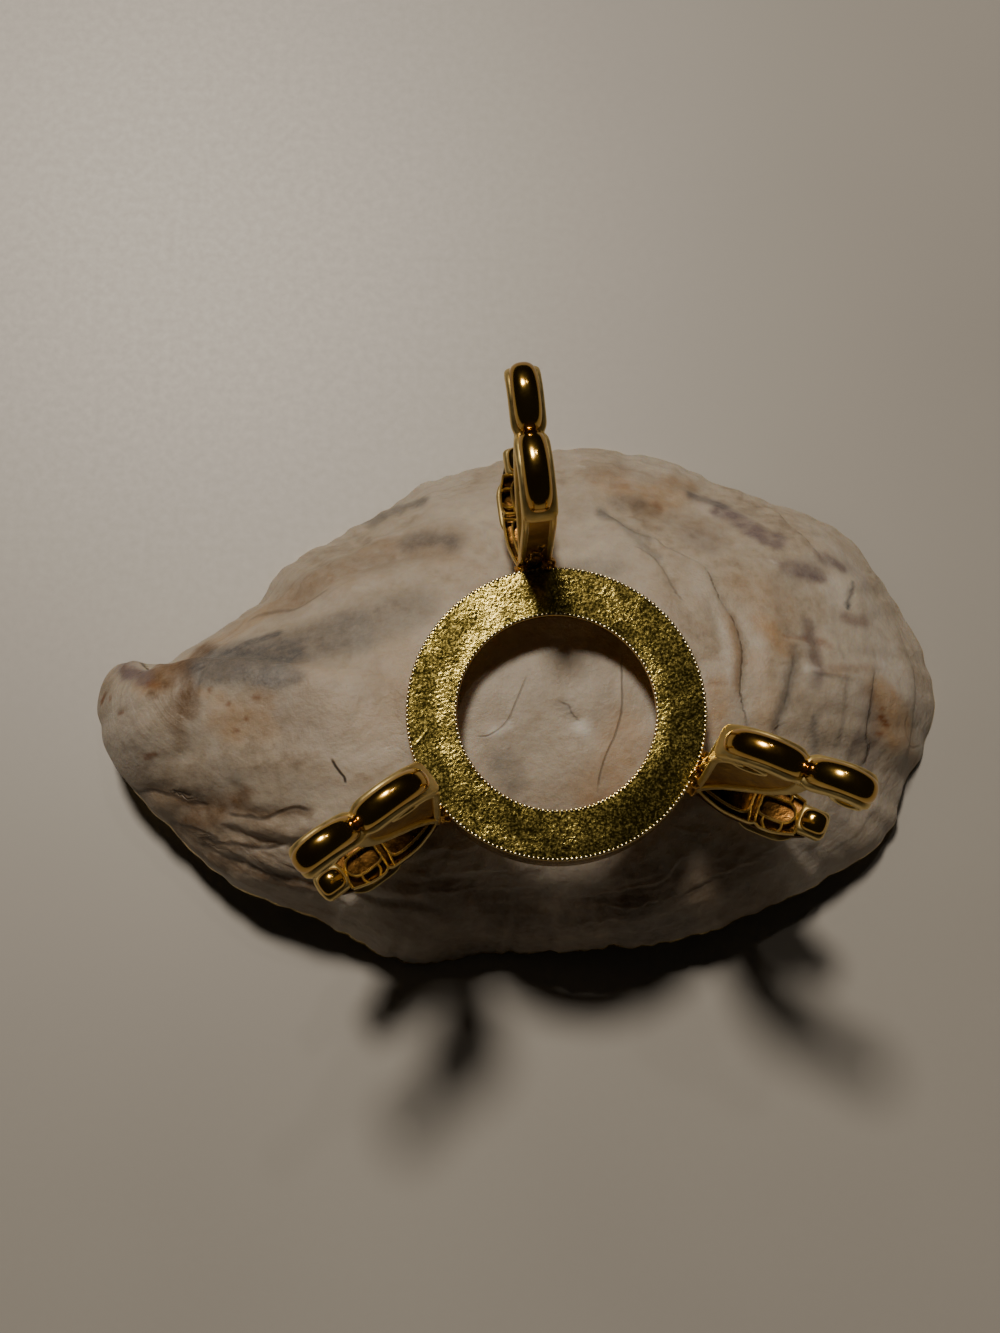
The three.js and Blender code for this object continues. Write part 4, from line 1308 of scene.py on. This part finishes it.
def plateSolid(name, outline, width, material, bevel=0.12):
    # an outline in the leg's plane, given a thickness and soft edges
    line = curveThrough(outline, 6, closed=True)
    count = len(line)
    verts = [(r, side * width / 2, z) for side in (-1, 1) for r, z in line]
    faces = [list(range(count)), list(range(2 * count - 1, count - 1, -1))]
    faces += [[k + count, (k + 1) % count + count, (k + 1) % count, k] for k in range(count)]
    obj = meshObject(name, verts, faces)
    obj.data.materials.append(material)
    mod = obj.modifiers.new("soft edges", "BEVEL")
    mod.width, mod.segments, mod.limit_method = bevel, 2, "ANGLE"
    return realized(obj, name)


def ribSolids(name, paths, radius, stretch, material, steps=6, sides=12):
    # paths as points out, across and up; the node tree sweeps each one
    verts, edges = [], []
    for path in paths:
        line = curveThrough(path, steps)
        edges += [(len(verts) + k, len(verts) + k + 1) for k in range(len(line) - 1)]
        verts += line.tolist()
    tree, ids = trees["ribs"]
    return treeObject(name, tree, ids, {"Rib radius": radius, "Sides": sides, "Height stretch": stretch,
                                        "Metal": material}, verts, edges)


def ballSolid(name, centre, radius, material, lumpy=0.0, seed=1, detail=3):
    mesh = bpy.data.meshes.new(name)
    shape = bmesh.new()
    bmesh.ops.create_icosphere(shape, subdivisions=detail, radius=1.0)
    for v in shape.verts:
        grow = 1 + lumpy * noise.noise(v.co * 1.7 + Vector((seed * 3.1, seed * 1.7, 0)))
        v.co = Vector(centre) + Vector((v.co.x * radius[0], v.co.y * radius[1], v.co.z * radius[2])) * grow
    shape.to_mesh(mesh)
    shape.free()
    obj = bpy.data.objects.new(name, mesh)
    bpy.context.scene.collection.objects.link(obj)
    mesh.materials.append(material)
    return obj


def outwards(obj):
    shape = bmesh.new()
    shape.from_mesh(obj.data)
    bmesh.ops.recalc_face_normals(shape, faces=shape.faces)
    shape.to_mesh(obj.data)
    shape.free()


def unite(name, solids):
    # every solid joined into one closed skin
    for solid in solids:
        outwards(solid)
    base = solids[0]
    for solid in solids[1:]:
        mod = base.modifiers.new(solid.name, "BOOLEAN")
        mod.operation, mod.solver, mod.object = "UNION", "MANIFOLD", solid
        mod.material_mode = "TRANSFER"
    out = realized(base, name)
    for solid in solids[1:]:
        bpy.data.objects.remove(solid)
    return out


def mirrored(paths):
    # each path given from above, laid on the leaf's top on both sides
    tops = leafSize["ribTop"]
    out = []
    for path in paths:
        for side in (1, -1):
            out.append([(r, side * t, along(tops, r)) for r, t in path])
    return out


def footSection():
    # the foot's half width and half height along it, with rounded ends and a notch between heel and toe
    s = legSize
    narrow, place, length = s["notch"]

    def rounded(share, end):
        return np.sqrt(np.maximum(0.05, 1 - (1 - np.clip(np.minimum(share, 1 - share) / end, 0, 1)) ** 2))

    def wide(share):
        neck = 1 - (1 - narrow) * np.exp(-((share - place) / length) ** 2)
        return s["width"] / 2 * rounded(share, 0.07) * neck

    return wide, lambda share: s["footHalf"] * rounded(share, 0.05)


def footSolids(metals):
    s, polished = legSize, metals["polished"]
    wide, high = footSection()
    lobeWidth = s["width"] - s["lobeMargin"]
    solids = [sweepSolid("foot", s["footPath"], wide, high, 4.5, metals["satin"], sides=40, steps=14)]
    for name, height in zip(("heel", "toe"), s["lobeHeight"]):
        solids.append(pillowSolid(name, s[f"{name}Path"], lobeWidth, height, polished, *s["lobeShape"]))
    middle = (s["bead"][0], 0, s["bead"][1])
    return solids + [ballSolid("notchBead", middle, (0.34, 0.36, 0.36), polished)]


def stemSolids(metals):
    s = legSize
    satin = metals["satin"]
    side = s["width"] / 2 - 0.42
    frames = [[(r, way * side, z) for r, z in s["innerFrame"]] for way in (1, -1)]
    curls = [[(r, way * (side - 0.1), z) for r, z in curl] for curl in s["curls"] for way in (1, -1)]
    return [
        plateSolid("panel", s["panel"], 2.4, metals["recess"]),
        ribSolids("innerFrame", frames, 0.4, 1.0, satin, steps=5, sides=16),
        sweepSolid("outerFrame", s["outerFrame"], lambda q: 1.72 - 0.25 * q ** 2,
                   lambda q: 0.4 + 0.55 * q ** 3, 5.0, satin),
        ribSolids("curls", curls, 0.27, 1.0, satin, steps=6, sides=12),
    ]


def leafSolids(metals):
    leaf, satin = leafSize, metals["satin"]
    return [
        # the leaf's body takes the near-black gold that paints shade into its cells
        sweepSolid("leaf", leaf["middle"], lambda q: along(leaf["width"], q) + 0.1,
                   lambda q: leaf["depth"] * (0.8 + 0.2 * np.sin(q * math.pi)), 3.5, metals["shaded_cell"]),
        bandSolid("leafLower", leaf["lower"], 5.7, 0.34, satin, ends=0.35, square=3.0),
        ribSolids("leafRibs", mirrored(leaf["ribs"]), 0.15, 3.0, satin),
        bandSolid("block", leaf["block"], leaf["blockWidth"], 1.0, satin, ends=0.2, square=4.0),
        pillowSolid("blockTop", leaf["blockPillow"], leaf["blockWidth"] - 0.75, 0.75, metals["polished"]),
    ]


def solderSolids(metals):
    return [ballSolid(f"solder{k}", middle, radius, metals["solder"], uneven, k + 3, 4)
            for k, (middle, radius, uneven) in enumerate(legSize["solder"])]


def buildLeg(metals):
    return unite("leg", footSolids(metals) + stemSolids(metals) + leafSolids(metals) + solderSolids(metals))


def placeLeg(master, place, azimuth):
    obj = bpy.data.objects.new(f"leg_casting_{place}", master.data.copy())
    bpy.context.scene.collection.objects.link(obj)
    count = len(obj.data.vertices)
    co = np.empty(count * 3)
    obj.data.vertices.foreach_get("co", co)
    co = co.reshape(-1, 3)
    c, d = math.cos(math.radians(azimuth)), math.sin(math.radians(azimuth))
    placed = np.stack([co[:, 0] * c - co[:, 1] * d + axisX, co[:, 0] * d + co[:, 1] * c + axisY,
                       co[:, 2] + ringTop], axis=1) * mm
    low, high = np.array(cadBox[0]), np.array(cadBox[1])
    obj.data.vertices.foreach_set("co", np.clip(placed, low, high).ravel())
    obj.data.update()
    smoothShade(obj, legSize["sharpFrom"])
    return obj


# finishes of the stand: two tones that drift into each other, roughness, then the bump's size and height
metalLooks = {
    # partly painted reflection: the lobes' gold is darker than the satin gold to show the dark reflection
    # they hold
    "polished": ((0.86, 0.58, 0.15), (0.62, 0.34, 0.06), 0.12, 0.17, 3.0, 0.02),
    "satin": ((1.0, 0.80, 0.36), (0.90, 0.66, 0.24), 0.34, 0.5, 1.2, 0.03),
    "recess": ((0.62, 0.36, 0.07), (0.34, 0.17, 0.03), 0.3, 0.5, 0.8, 0.06),
    # painted shade: near-black gold for the leaf's cells, standing in for the shade inside them
    "shaded_cell": ((0.12, 0.06, 0.015), (0.05, 0.022, 0.006), 0.2, 0.4, 0.8, 0.05),
    "solder": ((0.72, 0.42, 0.10), (0.42, 0.20, 0.04), 0.14, 0.4, 0.7, 0.08),
    "grained": ((0.62, 0.49, 0.13), (0.27, 0.215, 0.045), 0.12, 0.20, 0.18, 0.011),
    "wall": ((0.86, 0.62, 0.20), (0.62, 0.38, 0.08), 0.12, 0.25, 0.6, 0.02),
    # painted highlight: the beads' near-white gold makes them read as bright dots
    "bead": ((1.0, 0.90, 0.60), (0.98, 0.82, 0.45), 0.20, 0.27, 0.6, 0.01),
}
# the specks on the ring's face, whose lighter gold partly paints glints: their size in mm, what coarse grain
# adds, and the levels they run between
speckLooks = {"size": 0.24, "denser": 0.06, "range": (0.46, 0.70)}


def metalFinish(name):
    light, deep, smoothest, roughest, size, height = metalLooks[name]
    mat, nodes, links, shader = newMaterial(f"{name} gold")
    shader.inputs["Metallic"].default_value = 1.0
    place = objectPlace(nodes)
    uneven = noiseNode(nodes, links, place, size, 3, 0.6)
    # partly painted glints: the specks give the face lighter gold, more of them where the grain is coarser
    if name == "grained":  # fine frosted specks, denser where the grain is coarser
        graining = field(nodes, "graining")
        specks = noiseNode(nodes, links, place, speckLooks["size"], 2, 0.6)
        denser = combine(nodes, links, "MULTIPLY", graining, speckLooks["denser"])
        specks = combine(nodes, links, "ADD", specks, denser)
        low, high = speckLooks["range"]
        worn = remap(nodes, links, specks, low, high)
        deepened = remap(nodes, links, specks, high, low)
        uneven = combine(nodes, links, "MULTIPLY", uneven, graining)
    else:
        worn = remap(nodes, links, noiseNode(nodes, links, place, 1.1, 4, 0.65), 0.3, 0.7)
        deepened = remap(nodes, links, noiseNode(nodes, links, place, 4.5, 4, 0.6), 0.32, 0.66)
    if name == "polished":  # a thin clear lacquer keeps the lobes' highlights crisp
        shader.inputs["Coat Weight"].default_value = 0.6
        shader.inputs["Coat Roughness"].default_value = 0.03
    links.new(blend(nodes, links, deepened, light, deep), shader.inputs["Base Color"])
    links.new(remap(nodes, links, worn, 0, 1, smoothest, roughest), shader.inputs["Roughness"])
    bumped(nodes, links, shader, uneven, height)
    return mat


def buildBeads(label, side):
    # the row of beads beside one edge of the ring's face
    s = beadSize
    tree, ids = trees["beads"]
    obj = treeObject(f"beads_{label}", tree, ids, {
        "Circle radius": ringSize[label] + side * s["fromEdge"], "Bead count": s["counts"][label],
        "Bead radius": s["radius"], "Height": s["height"], "Unevenness": s["unevenness"],
        "Seed": s["seed"], "Metal": metals["bead"]})
    co = np.array([v.co for v in obj.data.vertices])
    obj.data.vertices.foreach_set("co", ((co + (axisX, axisY, ringTop)) * mm).ravel())
    smoothShade(obj)
    return obj


metals = {name: metalFinish(name) for name in metalLooks}
trees = {"ribs": ribTree(), "beads": beadTree()}

ring = buildRing()
ring.data.materials.append(metals["grained"])
ring.data.materials.append(metals["wall"])
beadParts = [buildBeads("outer", -1), buildBeads("inner", 1)]
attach(ring, "root")
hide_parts("stand_ring")
for beads in beadParts:
    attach(beads, "root")
    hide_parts("stand_ring")
print("ring")

master = buildLeg(metals)
print("leg faces", len(master.data.polygons))
for place, azimuth in legSize["azimuths"].items():
    leg = placeLeg(master, place, azimuth)
    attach(leg, "root")
    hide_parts(f"stand_leg_{place}")
bpy.data.objects.remove(master)


# stage, camera and light

cameraSize = {
    "fromRing": (-10.2, -48.5, 206.5),  # from the middle of the ring's top face
    "tilt": 14.49,
    "lean": -1.16,
    "lens": 72.0,
}

floorLooks = {
    "tones": ((0.49, 0.465, 0.42), (0.45, 0.425, 0.385)),
    "rough": (0.41, 0.44),
    "gloss": 1.0,
    "half": 0.7,  # from the middle to each side, in metres
}

# each light: bearing, elevation in degrees, distance and size in mm, power in watts
lightSize = {
    "key": ((-0.335, 0.942), 61.0, 2000.0, 340.0, 22.4),
    "second": ((0.2, 0.98), 59.0, 2000.0, 90.0, 1.0),
    "ceiling": ((0.2, 0.98), 76.5, 900.0, 585.0, 0.0022),
}
lightLooks = {"tint": (1.0, 0.89, 0.75), "room": 0.008, "roomTint": (1.0, 0.92, 0.82)}


def makeStage():
    half = floorLooks["half"]
    corners = [(-half, -half, 0), (half, -half, 0), (half, half, 0), (-half, half, 0)]
    floor = meshObject("floor", corners, [(0, 1, 2, 3)])
    mat, nodes, links, shader = newMaterial("pale floor")
    place = objectPlace(nodes)
    tone = remap(nodes, links, noiseNode(nodes, links, place, 60, 2), 0.3, 0.7)
    links.new(blend(nodes, links, tone, *floorLooks["tones"]), shader.inputs["Base Color"])
    grain = noiseNode(nodes, links, place, 1.0, 3)
    links.new(remap(nodes, links, grain, 0.3, 0.7, *floorLooks["rough"]), shader.inputs["Roughness"])
    shader.inputs["Specular IOR Level"].default_value = floorLooks["gloss"]
    floor.data.materials.append(mat)


def makeCamera():
    data = bpy.data.cameras.new("camera")
    data.sensor_fit = "HORIZONTAL"
    data.sensor_width = 36
    data.lens = cameraSize["lens"]
    data.clip_start = 0.01
    obj = bpy.data.objects.new("camera", data)
    x, y, z = cameraSize["fromRing"]
    obj.location = ((axisX + x) * mm, (axisY + y) * mm, (ringTop + z) * mm)
    obj.rotation_euler = (math.radians(cameraSize["tilt"]), math.radians(cameraSize["lean"]), 0)
    bpy.context.scene.collection.objects.link(obj)
    bpy.context.scene.camera = obj


def makeLight(name, bearing, elevation, distance, size, power, colour):
    data = bpy.data.lights.new(name, "AREA")
    data.shape = "DISK"
    data.size = size * mm
    data.energy = power
    data.color = colour
    obj = bpy.data.objects.new(name, data)
    direction = Vector((bearing[0], bearing[1], 0)).normalized() * math.cos(math.radians(elevation))
    direction.z = math.sin(math.radians(elevation))
    obj.location = direction * distance * mm
    obj.rotation_euler = direction.to_track_quat("Z", "Y").to_euler()
    bpy.context.scene.collection.objects.link(obj)


def makeLights():
    for name, (bearing, elevation, distance, size, power) in lightSize.items():
        makeLight(name, bearing, elevation, distance, size, power, lightLooks["tint"])
    world = bpy.data.worlds.new("room")
    world.use_nodes = True
    background = world.node_tree.nodes["Background"]
    background.inputs["Color"].default_value = (*lightLooks["roomTint"], 1)
    background.inputs["Strength"].default_value = lightLooks["room"]
    bpy.context.scene.world = world


makeStage()
makeCamera()
makeLights()
